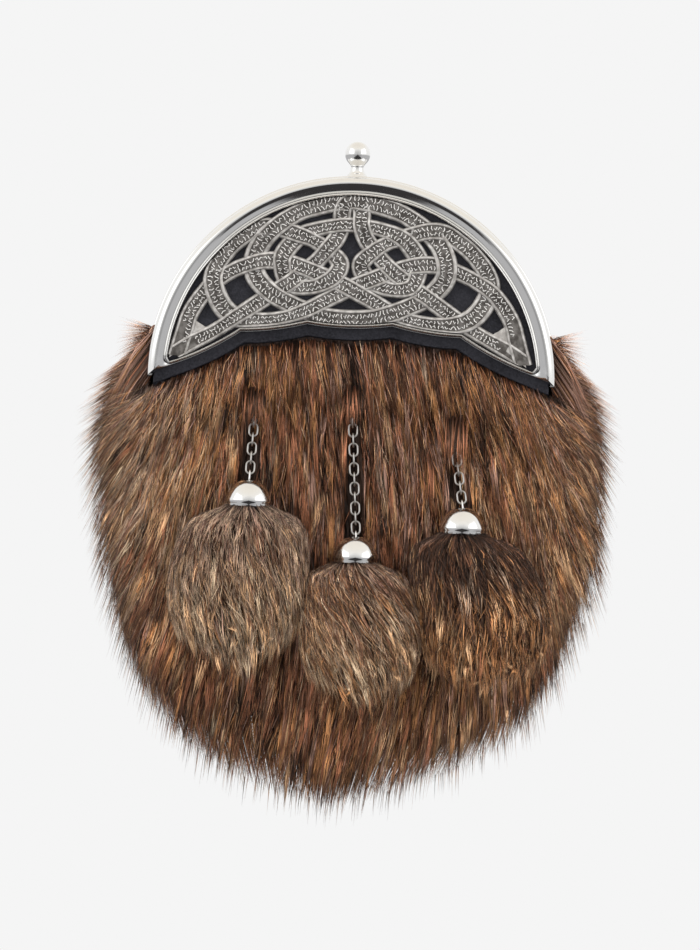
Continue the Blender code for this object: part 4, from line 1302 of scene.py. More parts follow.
@dataclass
class Coat:
    """The long fur over the pouch: a dark undercoat, partly painted shade, and locks of hair that flow from
    the cantle.
    """

    columns: int = 60
    shoulder_columns: int = 6
    locks: int = 3900
    edge_locks: int = 420
    strands_a_lock: int = 11
    fine: int = 22000
    rear: int = 8200
    veil: int = 70
    lock_length: tuple = (20.0, 38.0)
    lock_bend: float = 1.5
    lock_spread: float = 1.15
    hair_bend: float = 0.6
    hair_wave: float = 0.3
    hair_start: float = 0.12
    hair_size: tuple = (0.72, 1.06)
    hair_width: tuple = (0.28, 0.56)
    hair_shine: tuple = (0.25, 1.0)
    shine_spread: float = 0.22
    root_shadow: float = 0.45
    shadow_reach: float = 0.16
    low_crest: float = 0.3
    low_painted_shade: float = 0.1
    fine_turn: float = 0.17
    fine_length: tuple = (6.0, 14.0)
    fine_width: tuple = (0.20, 0.34)
    fine_shine: tuple = (0.15, 1.0)
    fine_local: float = 0.75
    veil_width: tuple = (0.28, 0.50)
    veil_shine: float = 0.7
    rear_from: float = -34.0
    rear_reach: tuple = (0.74, 1.0)
    rear_width: tuple = (0.42, 0.75)
    rear_shine: float = 0.85
    bulge: tuple = (2.0, 82.0, 22.0)
    foot_shift: tuple = (5.0, 150.0, 14.0)
    root_gap: float = 0.2
    skin_front: float = -41.6
    crest: tuple = (1.6, 6.4)
    tip_depth: float = -21.0
    shoulder_tip_depth: float = -13.0
    hem_depth: float = -4.6
    rear_tip_depth: float = -17.0
    swing: float = 13.0
    swing_middle: float = 0.56
    swing_width: float = 0.2
    low_share: float = 0.27
    gather: float = 1.5
    side_columns: float = 3.0
    turn_columns: float = 7.0
    root_reach: float = 0.12
    root_bend: float = 0.6
    fall_bend: float = 1.7
    edge_lean: float = 0.85
    edge_tuck: float = 0.6
    parting_tuck: float = 0.8
    under_steps: int = 10
    under_reach: float = 0.86
    under_gap: float = 0.8
    corner_gap: float = 2.8
    side_depth: float = -30.0

    def __post_init__(self) -> None:
        """Work out the lines of roots and tips that the flow of the fur is read from."""
        self.side = self.gathered(self.side_line())
        self.tips = self.gathered(resampled(both_sides(spline(FUR_EDGE, 3.0)), 4 * self.columns))
        fallen = -self.tips[:, 1]
        shift, place, over = self.bulge
        self.tips[:, 0] += shift * np.exp(-((fallen - place) / over) ** 2)
        shift, place, over = self.foot_shift
        self.tips[:, 0] -= shift * np.clip((fallen - place) / over, 0.0, 1.0)
        self.roots = np.array([self.root(column) for column in range(self.columns + 1)])
        self.leaves = np.array([self.leaving(column) for column in range(self.columns + 1)])

    def gathered(self, line: Array) -> Array:
        """Return the columns' places on an even line, closer together round its middle."""
        place = np.linspace(-1.0, 1.0, self.columns + 1)
        index = (0.5 + 0.5 * np.sign(place) * np.abs(place) ** self.gather) * (len(line) - 1)
        return read_off(index, np.arange(len(line)), line)

    def random_places(self, count: int, rng: Rng) -> Array:
        """Return random places across the coat, spread over both its roots and its edge."""
        place = rng.uniform(-1.0, 1.0, count)
        spread = np.sign(place) * np.abs(place) ** (1.0 / self.gather)
        return 0.5 + 0.5 * np.where(rng.random(count) < 0.5, spread, place)

    def side_line(self) -> Array:
        """Return the pouch's outline from shoulder to shoulder by the bottom."""
        shoulder = math.degrees(math.asin(SHOULDER_HEIGHT / BODY_RADIUS))
        right = np.vstack((arc(BODY_RADIUS, shoulder, 0.0, 4)[:-1], spline(POUCH_BODY, 4.0)))
        return resampled(both_sides(right), 4 * self.columns)

    def root(self, column: int) -> tuple:
        """Return where a column of fur starts: beside the arch, or below the leather trim."""
        from_end = min(column, self.columns - column)
        if from_end < self.shoulder_columns:
            row = SHOULDER[from_end]
            side = -1.0 if column < self.columns / 2 else 1.0
            half = self.side[:self.columns // 2]
            reach = float(np.interp(-row.height, -half[:, 1], -half[:, 0]))
            return side * (reach + self.under_gap), row.depth, row.height
        trim = shifted(rim_line(RIM_STEPS), RIM_WIDTH / 2.0 + TRIM_DROP + self.root_gap)
        trim[0] = (-TRIM_RADIUS, TRIM_END - 1.0)
        trim[-1] = (TRIM_RADIUS, TRIM_END - 1.0)
        line = resampled(trim, self.columns - 2 * self.shoulder_columns)
        x, z = line[column - self.shoulder_columns]
        return x, TRIM_BACK - self.root_gap, z

    def leaving(self, column: int) -> float:
        """Return the share of a column's length at which it leaves the front of the pouch."""
        start = Vector(self.roots[column][[0, 2]])
        end = Vector(self.tips[column])
        for a, b in zip(self.side, self.side[1:]):
            found = intersect_line_line_2d(start, end, Vector(a), Vector(b))
            if found:
                return 0.9 * (found - start).length / (end - start).length
        return 0.0

    @staticmethod
    def column_values(values: Array, c: Array) -> Array:
        """Return the columns' values at places from 0 to 1."""
        places = np.linspace(0.0, 1.0, len(values))
        if values.ndim == 1:
            return np.interp(c, places, values)
        return read_off(c, places, values)

    def from_end(self, c: Array) -> Array:
        """Return how many columns each place lies from the nearer end of the coat."""
        return np.minimum(c, 1.0 - c) * self.columns

    def surface(self, c: Array, t: Array) -> tuple:
        """Return points on the coat's skin, the way the fur flows, and the way out of the coat.

        Args:
            c: Places across the coat, from 0 at the left shoulder to 1 at the right one.
            t: Shares of the way from root to tip.

        Returns:
            Three arrays of vectors: places, flow and outward.
        """
        root_x, root_y, root_z = self.column_values(self.roots, c).T
        tip_x, tip_z = self.column_values(self.tips, c).T
        leave = self.column_values(self.leaves, c)
        from_end = self.from_end(c)
        front = np.clip((from_end - self.side_columns) / self.turn_columns, 0.0, 1.0)
        inwards = np.minimum(1.0, from_end / self.shoulder_columns)
        tip_y = blend(self.shoulder_tip_depth, self.tip_depth, inwards)
        level = blend(root_y, self.skin_front, front)
        level = blend(root_y, level, np.minimum(1.0, np.maximum(t, 0.0) / self.root_reach) ** self.root_bend)
        over = np.clip((t - leave) / np.maximum(1.0 - leave, 0.05), 0.0, 1.2) ** self.fall_bend
        swing = self.swing * np.exp(-((c - self.swing_middle) / self.swing_width) ** 2)
        turn = math.pi * np.clip(t, 0.0, 1.0)
        x = blend(root_x, tip_x, t) + swing * np.sin(turn)
        z = blend(root_z, tip_z, t)
        place = np.stack((x, blend(level, tip_y, over), z), axis=-1)
        sideways = tip_x - root_x + swing * math.pi * np.cos(turn)
        flow = unit(np.stack((sideways, 0.0 * x, tip_z - root_z), axis=-1))
        lean = np.clip(over, 0.0, 1.0)[..., None] * self.edge_lean
        outward = unit(away_from_middle(x, 0.0 * x, z) * lean + FRONT * (1.0 - lean))
        return place, flow, outward

    def reach(self, c: Array) -> Array:
        """Return the length of the way from root to tip."""
        gap = self.column_values(self.tips, c) - self.column_values(self.roots, c)[..., [0, 2]]
        return np.linalg.norm(gap, axis=-1)

    @staticmethod
    def families(places: Array, rng: Rng) -> Array:
        """Pick a colour family for each place of the coat."""
        x, z = places[:, 0], places[:, 2]
        shares = np.tile(BASE_SHARES, (len(x), 1))
        for family, patches in COAT_PATCHES.items():
            for patch in patches:
                near = np.exp(-((x - patch.x) / patch.wide) ** 2 - ((z - patch.z) / patch.tall) ** 2)
                shares[:, family.value] += patch.strength * near
        streak = np.sin(x * 0.9 + 3.0 * np.sin(z * 0.05)) * np.sin(x * 0.37 + 1.3)
        shares[:, Hair.BLACK.value] *= np.exp(1.1 * streak)
        shares[:, Hair.AMBER.value] *= np.exp(-0.8 * streak)
        return picked(shares, rng)

    @staticmethod
    def mottled(places: Array) -> Array:
        """Return how bright each place is next to its surroundings, in broad uneven streaks."""
        x, z = places[:, 0], places[:, 2]
        return 0.82 + 0.3 * np.sin(0.21 * x + 2.0 * np.sin(0.045 * z)) * np.sin(0.06 * z + 0.11 * x + 0.8)

    @staticmethod
    def parted(places: Array) -> Array:
        """Return how deep each place lies in a parting, from 0 outside to 1 in its middle."""
        x, z = places[:, 0], places[:, 2]
        depth = np.zeros(len(x))
        for row in PARTINGS:
            share = np.clip((row.top_z - z) / (row.top_z - row.low_z), 0.0, 1.0)
            half = blend(row.top_half, row.low_half, share)
            inside = np.clip(1.6 * (1.0 - np.abs(x - blend(row.top_x, row.low_x, share)) / half), 0.0, 1.0)
            inside *= (z < row.top_z + PARTING_OVER) & (z > row.low_z - PARTING_UNDER)
            depth = np.maximum(depth, inside)
        return depth

    def lock_places(self, rng: Rng) -> tuple:
        """Return where each lock starts across and along the coat, and how far it spans."""
        count = self.locks + self.edge_locks
        end = self.shoulder_columns / self.columns
        across = self.random_places(count, rng)
        across[self.locks:] = rng.uniform(end, 1.0 - end, self.edge_locks)
        shorter = np.clip((self.from_end(across) + 3.0) / 7.0, 0.4, 1.0)
        length = rng.uniform(*self.lock_length, count) * shorter
        span_share = np.minimum(length / self.reach(across), 0.97)
        start = rng.random(count) ** 0.92 * (1.0 - span_share) + rng.uniform(-0.01, 0.03, count)
        start[self.locks:] = rng.uniform(0.0, 0.012, self.edge_locks)
        return across, np.maximum(start, 0.0), span_share

    def raised(self, c: Array, t: Array, side: Array, lift: Array) -> tuple:
        """Return points set beside the flow and lifted off the skin, and the way out there.

        Args:
            c: Places across the coat, from 0 to 1.
            t: Shares of the way from root to tip.
            side: Distances to the side of the flow.
            lift: Distances off the skin, of which less is left at the coat's edge and in a parting.

        Returns:
            The points and their outward vectors.
        """
        place, flow, outward = self.surface(c, t)
        edge = np.clip(1.0 + outward[:, 1], 0.0, 1.0)
        lift = lift * (1.0 - self.edge_tuck * edge) * (1.0 - self.parting_tuck * self.parted(place))
        return place + np.cross(outward, flow) * side[:, None] + outward * lift[:, None], outward

    def front_strands(self, rng: Rng) -> Strands:
        """Return the hair that gathers in locks over the front and the sides."""
        lock_c, start, length = self.lock_places(rng)
        count = len(lock_c)
        bend = rng.normal(0.0, self.lock_bend, count)
        crest = rng.uniform(*self.crest, count)
        middle = self.surface(lock_c, start + 0.5 * length)[0]
        shine = rng.uniform(*self.hair_shine, count) * self.mottled(middle)
        family = self.families(middle, rng)
        # Low locks lie deep among the others; their darker tone and umber colour are painted shade
        low = rng.random(count) < self.low_share
        crest = np.where(low, self.low_crest * crest, crest)
        shine = np.where(low, self.low_painted_shade * shine, shine)
        family = np.where(low, Hair.UMBER.value, family)
        pick = np.repeat(np.arange(count), self.strands_a_lock)
        total = len(pick)
        spread = rng.normal(0.0, self.lock_spread, total)
        wave = rng.normal(0.0, self.hair_wave, total)
        bow = bend[pick] + rng.normal(0.0, self.hair_bend, total)
        t_start = start[pick] + rng.uniform(0.0, self.hair_start, total) * length[pick]
        size = rng.uniform(*self.hair_size, total) * length[pick]
        lines = []
        for share, rise in ((0.0, 0.12), (0.5, 0.78), (1.0, 1.0)):
            side = spread * (1.0 - 0.8 * share) + bow * share ** 2 + wave * math.sin(math.pi * share)
            points, outward = self.raised(lock_c[pick], t_start + size * share, side, crest[pick] * rise)
            lines.append(points)
        lines = np.stack(lines, axis=1)
        # Hair deep in a parting is painted black: painted shade in the parting
        dark = self.parted(lines[:, 1]) > 0.25
        kinds = np.where(dark, Hair.BLACK.value, family[pick])
        stray = rng.random(total) < STRAY_SHARE
        kinds = np.where(stray & ~dark, rng.permutation(kinds), kinds)
        shadow = self.root_shadow * np.exp(-start[pick] / self.shadow_reach)
        tones = tone_of(kinds, shine[pick] - shadow + rng.normal(0.0, self.shine_spread, total))
        return Strands(lines, rng.uniform(*self.hair_width, total), tones, outward, lock_c[pick])

    def fine_strands(self, rng: Rng) -> Strands:
        """Return the short fine hairs that lie loose on the locks."""
        count = self.fine
        c = self.random_places(count, rng)
        t = rng.random(count) ** 0.95 * 0.99
        turn = np.tan(rng.normal(0.0, self.fine_turn, count))
        length = rng.uniform(*self.fine_length, count)
        lift = rng.uniform(self.crest[0], self.crest[1] + 0.5, count)
        roots, _ = self.raised(c, t, 0.0 * turn, 0.8 * lift)
        tips, outward = self.raised(c, t + length / self.reach(c), turn * length, 1.08 * lift)
        clear = self.parted(tips) < 0.2
        family = rng.permutation(self.families(tips, rng))
        family = np.where(rng.random(count) < self.fine_local, self.families(tips, rng), family)
        tones = tone_of(family, rng.uniform(*self.fine_shine, count))
        widths = rng.uniform(*self.fine_width, count)
        fine = Strands(np.stack((roots, tips), axis=1), widths, tones, outward, c)
        return Strands(*(values[clear] for values in fine))

    def veils(self, rng: Rng) -> Strands:
        """Return the hair that falls over the staples and the first links of the chains."""
        lines = []
        for row in VEILS:
            x = row.x + rng.normal(0.0, 2.0, self.veil)
            high = row.high + rng.uniform(-1.0, 6.0, self.veil)
            low = row.low + rng.uniform(-2.0, 4.0, self.veil)
            drift = rng.normal(0.0, 0.9, self.veil)
            out = rng.uniform(0.0, 1.6, self.veil)
            points = [np.stack((x + drift * share, depth - out * share, blend(high, low, share)), axis=1)
                      for share, depth in VEIL_DEPTHS]
            lines.append(np.stack(points, axis=1))
        lines = np.concatenate(lines)
        total = len(lines)
        kinds = rng.choice((Hair.BLACK.value, Hair.UMBER.value, Hair.RUST.value), total)
        tones = tone_of(kinds, rng.uniform(0.0, self.veil_shine, total))
        across = 0.5 + lines[:, 0, 0] / COAT_WIDTH
        return Strands(lines, rng.uniform(*self.veil_width, total), tones, np.tile(FRONT, (total, 1)), across)

    def rear_strands(self, rng: Rng) -> Strands:
        """Return the strands that run from the rear hem and the sides to the coat's edge."""
        count = self.rear
        c = self.random_places(count, rng)
        drift = 0.055 * np.clip(np.abs(c - 0.5) / 0.12, 0.0, 1.0) * np.sign(c - 0.5)
        y_start = rng.uniform(self.rear_from, self.hem_depth - self.under_gap, count)
        high_x, high_z = self.column_values(self.side, np.clip(c + drift, 0.0, 1.0)).T
        low_x, low_z = self.column_values(self.tips, c).T
        reach = rng.uniform(*self.rear_reach, count)
        y_end = blend(y_start, self.rear_tip_depth, 0.55)
        skew = rng.normal(0.0, 2.0, count)
        lines = []
        for share in (0.0, 0.45, 1.0):
            x = blend(high_x, low_x, share * reach)
            z = blend(high_z, low_z, share * reach) - 3.0 * share
            swell = 1.0 + 2.2 * math.sin(math.pi * min(1.0, share + 0.1))
            place = np.stack((x, blend(y_start, y_end, share) + skew * share, z), axis=1)
            lines.append(place + away_from_middle(x, 0.0 * x, z) * swell)
        facing = np.where(y_start > -14.0, 12.0, -12.0)
        outward = away_from_middle(lines[1][:, 0], facing, lines[1][:, 2])
        tones = tone_of(self.families(lines[1], rng), rng.uniform(0.0, self.rear_shine, count))
        return Strands(np.stack(lines, axis=1), rng.uniform(*self.rear_width, count), tones, outward, c)

    def undercoat(self, material: Material) -> None:
        """Build the dark fur that closes the coat under its long hair, its near-black partly painted shade.
        """
        rings = []
        for column in range(self.columns + 1):
            shares = np.linspace(0.0, self.under_reach, self.under_steps)
            face, _, _ = self.surface(np.full(self.under_steps, column / self.columns), shares)
            place = self.side[column]
            along = self.side[min(column + 1, self.columns)] - self.side[max(column - 1, 0)]
            outward = -perpendicular(unit(along))
            past = min(column, self.columns - column) - self.shoulder_columns
            gap = self.under_gap * (self.corner_gap if abs(past) < 2 else 1.0)
            x, z = place + outward * gap
            hem = np.array((x, self.hem_depth, z))
            ring = [*face, blend(face[-1], hem, 0.55), hem]
            if past < -1:
                ring += [blend(hem, face[0], k / 4.0) for k in range(1, 4)]
            else:
                deep = self.side_depth
                steps = [(0.0, 0.6 * deep), (0.0, 0.8 * deep), (0.0, deep)]
                if past >= 0:
                    inset = min(8.0, 4.2 + 1.9 * past)
                    steps = [(0.0, deep), (3.0, POUCH_FRONT + 2.7), (inset, POUCH_FRONT)]
                for inset, y in steps:
                    x, z = place + outward * (gap - inset)
                    ring.append((x, y - gap, z))
            rings.append(ring)
        skin = loft("coat_undercoat", np.array(rings))
        finish_piece(skin, material, ("pouch_fur",), smooth=FUR_ANGLE)

    def build(self, fur: Material, under: Material) -> None:
        """Build and dress the coat, in parts from left to right and a rear part."""
        self.undercoat(under)
        rng = np.random.default_rng(SEED + 1)
        layers = [self.front_strands(rng), self.fine_strands(rng), self.veils(rng)]
        for number, part in enumerate(COAT_PARTS):
            name = f"coat_{part}"
            pieces = []
            for strands in layers:
                place = np.minimum((strands.across * len(COAT_PARTS)).astype(int), len(COAT_PARTS) - 1)
                if (place == number).any():
                    pieces.append(hair(name, strands, place == number))
            finish_piece(joined(name, pieces), fur, ("pouch_fur",), smooth=HAIR_ANGLE)
        rear = hair("coat_rear", self.rear_strands(rng))
        finish_piece(rear, fur, ("pouch_fur",), smooth=HAIR_ANGLE)


LockRow = namedtuple("LockRow", "width_share depth fall")
TASSEL_FORM = table(LockRow, [
    (0.29, 6.9, -0.03), (0.36, 7.6, 0.0), (0.72, 9.2, 0.045), (0.90, 11.0, 0.12),
    (0.99, 12.4, 0.27), (1.00, 13.2, 0.46), (0.91, 12.2, 0.66), (0.70, 9.4, 0.85),
    (0.46, 6.0, 1.02),
])
TASSEL_DEPTH = -59.0
TASSEL_BACK = -49.4
TASSEL_SEED = 10

# Heights down a tassel at which its rings of core lie, and how far each lies under the hair
TASSEL_CORE = (
    (-0.05, -1.0), (0.0, -1.0), (0.04, -1.6), (0.12, -1.6), (0.22, -1.6), (0.36, -1.6), (0.52, -1.6),
    (0.66, -2.6), (0.76, -4.6), (0.82, -7.0),
)
# Scale that puts a tassel's fall in proportion to its width in the smooth curve of its form
FALL_SCALE = 60.0

# Shares of the colour families down each tassel, in the families' order
TASSEL_FALLS = (0.0, 0.3, 0.6, 1.0)
TASSEL_SHARES = {
    "left": ((0, 0, 0, 0, 0, 6.0, 2.0, 1.2), (1.2, 3.6, 0, 0, 0.6, 4.0, 1.0, 0),
             (0.5, 1.4, 0, 0, 2.8, 2.0, 0, 2.2), (0, 0.4, 0, 0.9, 3.4, 1.0, 0, 2.8)),
    "middle": ((0, 3.2, 0, 0, 0, 2.8, 2.0, 0), (1.3, 3.6, 0, 0.8, 1.2, 2.0, 0, 0),
               (0, 2.0, 0, 0.8, 2.8, 1.2, 0, 1.0), (0, 1.2, 0, 0.8, 2.4, 0, 0, 2.0)),
    "right": ((7.0, 4.0, 0, 0, 0, 0, 0.6, 0), (5.6, 3.6, 0, 0, 0.4, 0.5, 0, 0),
              (1.6, 1.8, 0, 3.0, 1.2, 0, 0, 0), (0, 0.3, 1.0, 5.4, 2.6, 0, 0, 0)),
}


def fullness(start: Array) -> Array:
    """Return how high hair may rise by where it starts, which is less close to the cap."""
    return np.clip(0.45 + 2.0 * start, 0.4, 1.0)


@dataclass
class TasselFur:
    """The fur of one tassel: hair that springs from under its cap and falls round it."""

    row: TasselRow
    seed: int
    locks: int = 640
    strands_a_lock: int = 8
    fine: int = 5000
    low_share: float = 0.25
    rounding: float = 0.2
    round_front: float = 0.76
    core_sides: int = 48
    last_start: float = 0.86
    lock_length: tuple = (10.0, 16.0)
    longer_below: float = 11.0
    lock_end: tuple = (0.66, 1.04)
    lock_bend: float = 0.08
    lock_spread: float = 0.05
    lock_crest: tuple = (0.8, 3.6)
    low_crest: float = 0.5
    low_painted_shade: float = 0.08
    hair_size: tuple = (0.72, 1.08)
    hair_lift: tuple = (0.8, 1.2)
    hair_width: tuple = (0.26, 0.50)
    hair_shine: tuple = (0.2, 1.0)
    shine_spread: float = 0.2
    fine_start: tuple = (-0.02, 0.84)
    fine_length: tuple = (5.0, 11.0)
    fine_turn: float = 0.9
    fine_lift: tuple = (0.8, 3.2)
    fine_width: tuple = (0.18, 0.30)
    fine_shine: tuple = (0.15, 1.0)
    core_depth: float = -7.0

    def __post_init__(self) -> None:
        """Find the middle of the cap that the fur hangs from."""
        low, high = span(f"tassel_cap_{self.row.name}")
        self.eye_x = (low[0] + high[0]) / 2.0
        self.rim = low[2] + self.row.cap_lift
        self.form = spline([(row.fall * FALL_SCALE, row.width_share, row.depth) for row in TASSEL_FORM], 1.0)

    def surface(self, angle: Array, fall: Array, rise: object) -> Array:
        """Find points round the tassel.

        Args:
            angle: Angles round its axis.
            fall: Shares of the way down.
            rise: How far the points lie off the surface.

        Returns:
            The points, in millimetres from the arch's centre.
        """
        width, depth = read_off(fall * FALL_SCALE, self.form[:, 0], self.form[:, 1:]).T
        wide = width * self.row.half_width + rise
        deep = depth + rise
        x = blend(self.eye_x, self.row.fur_x, np.clip(2.2 * fall, 0.0, 1.0)) + wide * np.cos(angle)
        forward = np.maximum(0.0, deep - (TASSEL_BACK - TASSEL_DEPTH))
        y = TASSEL_DEPTH - forward + deep * np.sin(angle)
        return np.stack((x, y, self.rim - self.row.drop * fall), axis=-1)

    def families(self, fall: Array, rng: Rng) -> Array:
        """Pick a colour family for each strand by how far down the tassel it is."""
        return picked(read_off(fall, TASSEL_FALLS, np.array(TASSEL_SHARES[self.row.name])), rng)

    def head(self) -> Piece:
        """Return the dark core that the hair lies on, its near-black partly painted shade."""
        angles = np.linspace(0.0, 2.0 * math.pi, self.core_sides, endpoint=False)
        rings = [self.surface(angles, fall + 0.0 * angles, shrink) for fall, shrink in TASSEL_CORE]
        return loft(f"tassel_core_{self.row.name}", np.array(rings))

    def build(self, fur: Material, under: Material) -> None:
        """Build and dress the tassel's fur."""
        rng = np.random.default_rng(SEED + self.seed)
        node = f"tassel_fur_{self.row.name}"
        finish_piece(self.head(), under, (node,), smooth=FUR_ANGLE)
        name = f"tassel_hair_{self.row.name}"
        parts = [hair(name, strands) for strands in (self.long_strands(rng), self.fine_strands(rng))]
        finish_piece(joined(name, parts), fur, (node,), smooth=HAIR_ANGLE)

    def front_angles(self, count: int, rng: Rng) -> Array:
        """Return angles round the tassel, on its front and its two sides."""
        return math.pi * (-0.5 + self.round_front * rng.uniform(-1.0, 1.0, count))

    def swept(self, angle: Array) -> Array:
        """Return how fast the hair turns round the tassel as it falls, from its left to its right."""
        return blend(*self.row.sweep, 0.5 + 0.5 * np.cos(angle))

    def rounded_off(self, angle: Array) -> Array:
        """Return the share of its fall that hair keeps, which is less at the tassel's sides."""
        return 1.0 - self.rounding * np.cos(angle) ** 2

    def strands(self, lines: list, inside: Array, face: int, widths: Array, tones: Array) -> Strands:
        """Keep strands in front of the tassel's back, facing away from its inside.

        Args:
            lines: Points from root to tip.
            inside: Point inside the tassel for each strand.
            face: Which of a line's points says the way that it faces.
            widths: Widths of the strands.
            tones: Their places on the tone scale.

        Returns:
            The strands.
        """
        lines = np.stack(lines, axis=1)
        lines[..., 1] = np.minimum(lines[..., 1], TASSEL_BACK + 0.5)
        return Strands(lines, widths, tones, unit(lines[:, face] - inside))

    def long_strands(self, rng: Rng) -> Strands:
        """Return the hair that gathers in locks from the cap down to the tips."""
        count = self.locks
        angle = self.front_angles(count, rng)
        start = self.last_start * rng.random(count) * self.rounded_off(angle) - 0.02
        length = rng.uniform(*self.lock_length, count) + self.longer_below * np.clip(start * 1.6, 0.0, 1.0)
        end = rng.uniform(*self.lock_end, count) * self.rounded_off(angle)
        length = np.clip(length, 3.0, np.maximum((end - start) * self.row.drop, 3.0))
        bend = rng.normal(0.0, self.lock_bend, count)
        # Low locks lie deep among the others; their darker tone and umber colour are painted shade
        low = rng.random(count) < self.low_share
        shine = np.where(low, self.low_painted_shade, rng.uniform(*self.hair_shine, count))
        pick = np.repeat(np.arange(count), self.strands_a_lock)
        total = len(pick)
        spread = rng.normal(0.0, self.lock_spread, total)
        size = length[pick] * rng.uniform(*self.hair_size, total) / self.row.drop
        crest = np.where(low, self.low_crest, rng.uniform(*self.lock_crest, count)) * fullness(start)
        lift = crest[pick] * rng.uniform(*self.hair_lift, total)
        lines = []
        for share, rise in ((0.0, 0.15), (0.5, 0.8), (1.0, 1.0)):
            turn = angle[pick] + spread * (1.0 - 0.8 * share) + bend[pick] * share ** 2
            turn += self.swept(angle[pick]) * share * size
            lines.append(self.surface(turn, start[pick] + size * share, lift * rise - 0.3))
        inside = self.surface(angle[pick], start[pick] + 0.3 * size, self.core_depth)
        family = self.families(start + 0.6 * length / self.row.drop, rng)[pick]
        family = np.where(rng.random(total) < STRAY_SHARE, rng.permutation(family), family)
        family = np.where(low[pick], Hair.UMBER.value, family)
        tones = tone_of(family, shine[pick] + rng.normal(0.0, self.shine_spread, total))
        return self.strands(lines, inside, 1, rng.uniform(*self.hair_width, total), tones)

    def fine_strands(self, rng: Rng) -> Strands:
        """Return the short fine hairs that lie on the tassel."""
        count = self.fine
        angle = self.front_angles(count, rng)
        start = rng.uniform(*self.fine_start, count) * self.rounded_off(angle)
        size = rng.uniform(*self.fine_length, count) / self.row.drop
        turn = angle + (self.swept(angle) + rng.normal(0.0, self.fine_turn, count)) * size
        lift = rng.uniform(*self.fine_lift, count) * fullness(start)
        lines = [self.surface(angle, start, lift), self.surface(turn, start + size, 1.15 * lift)]
        inside = self.surface(angle, start, self.core_depth)
        tones = tone_of(self.families(start + size, rng), rng.uniform(*self.fine_shine, count))
        return self.strands(lines, inside, 0, rng.uniform(*self.fine_width, count), tones)


STUD_PROFILE = table(Turn, [(4.6, 0.0), (5.0, -0.5), (4.9, -1.1), (4.1, -1.7), (2.6, -2.1), (0.4, -2.25)])
# Leather pieces: name, CAD node, and width of their rounded edges
LEATHER_PIECES = (
    ("pouch_leather", "pouch_wall", 0.6), ("flap_leather", "back_flap", 0.7),
    ("loop_left", "belt_loop_left", 0.4), ("loop_right", "belt_loop_right", 0.4),
)
STITCH_SECTION = arc(1.0, 0.0, 300.0, 5)
# Shares along a stitch and how thick its thread is there
STITCH_FORM = ((0.0, 0.35), (0.12, 0.85), (0.5, 1.0), (0.88, 0.85), (1.0, 0.35))


@dataclass
class PouchBack:
    """The leather pouch with its rear flap, press stud, belt loops and stitching."""

    stitch: float = 2.3
    gap: float = 1.1
    thread: float = 0.34
    sag: float = 0.12
    sink: float = 0.02
    flap_face: float = 2.6
    flap_margin: float = 3.2
    tip_margin: float = 4.2
    panel_margin: float = 4.0
    foot_face: float = 2.15
    foot_margins: tuple = (2.5, 2.4)

    def stitch_row(self, line: Array, depth: float) -> list:
        """Sew stitches along a line on a face.

        Args:
            line: Points of (x, z).
            depth: Where the face lies along the depth.

        Returns:
            The stitches.
        """
        places = resampled(line, max(1, int(distances(line)[-1] / (self.stitch + self.gap))))
        result = []
        for a, b in zip(places, places[1:]):
            way = unit(b - a)
            rings = []
            for share, size in STITCH_FORM:
                spot = (a + b) / 2.0 + way * self.stitch * (share - 0.5)
                level = depth - self.sag * (2.0 * share - 1.0) ** 2
                out = self.thread * size * STITCH_SECTION
                x, z = (spot + perpendicular(way) * out[:, :1]).T
                rings.append(np.stack((x, level + out[:, 1], z), axis=1))
            result.append(loft("stitch", np.array(rings)))
        return result

    def build(self, leather: Material, polish: Material, thread: Material) -> None:
        """Build and dress the pouch and what is on its back."""
        for name, node, width in LEATHER_PIECES:
            finish_piece(rounded_copy(name, node, width), leather, (node,))
        x, _, z = sum(span("flap_stud")) / 2.0
        centre = (x, BACK_FACE + self.flap_face, z)
        stud = turned("press_stud", STUD_PROFILE, centre, 32, forward=True, spacing=0.3)
        finish_piece(stud, polish, ("flap_stud",), smooth=TURNED_ANGLE)
        finish_piece(joined("stitching", self.stitches()), thread, smooth=WIRE_ANGLE)

    def stitches(self) -> list:
        """Return the rows of stitches round the back panel, the flap and the loops' feet."""
        low, high = span("back_flap")
        x, top = high[0] - self.flap_margin, high[2] - self.flap_margin
        bottom = low[2] + self.tip_margin
        half = np.array([(x, top), (x, top - 25.5), (0.84 * x, bottom + 17.0), (0.53 * x, bottom + 7.4),
                         (0.18 * x, bottom + 0.5)])
        flap = np.vstack((half * np.array((-1.0, 1.0)), half[::-1], half[:1] * np.array((-1.0, 1.0))))
        rows = self.stitch_row(flap, high[1] + self.sink)
        rows += self.stitch_row(shifted(Coat().side_line(), -self.panel_margin), BACK_FACE + self.sink)
        aside, inwards = self.foot_margins
        for node in ("belt_loop_left", "belt_loop_right"):
            low, high = span(node)
            for z in (low[2] + inwards, high[2] - inwards):
                line = np.array([(low[0] + aside, z), (high[0] - aside, z)])
                rows += self.stitch_row(line, BACK_FACE + self.foot_face)
        return rows


# Lights: where each stands and how large it is, in metres, and its power in watts
Lamp = namedtuple("Lamp", "name place size power colour")
LAMPS = table(Lamp, [
    ("box_left", (-1.10, -0.62, 0.36), (0.75, 0.75), 26.5, (1.0, 1.0, 1.0)),
    ("box_right", (1.10, -0.62, 0.36), (0.75, 0.75), 30.0, (1.0, 1.0, 1.0)),
    ("overhead", (0.0, -0.55, 1.25), (1.3, 0.7), 31.0, (1.0, 0.975, 0.94)),
    ("low", (0.0, -1.3, -0.36), (1.2, 0.24), 12.0, (1.0, 0.97, 0.94)),
    ("fill", (0.0, -2.6, 0.45), (1.4, 0.7), 35.0, (1.0, 1.0, 1.0)),
])


def grey(level: float) -> tuple:
    """Return a grey of a level."""
    return (level, level, level)


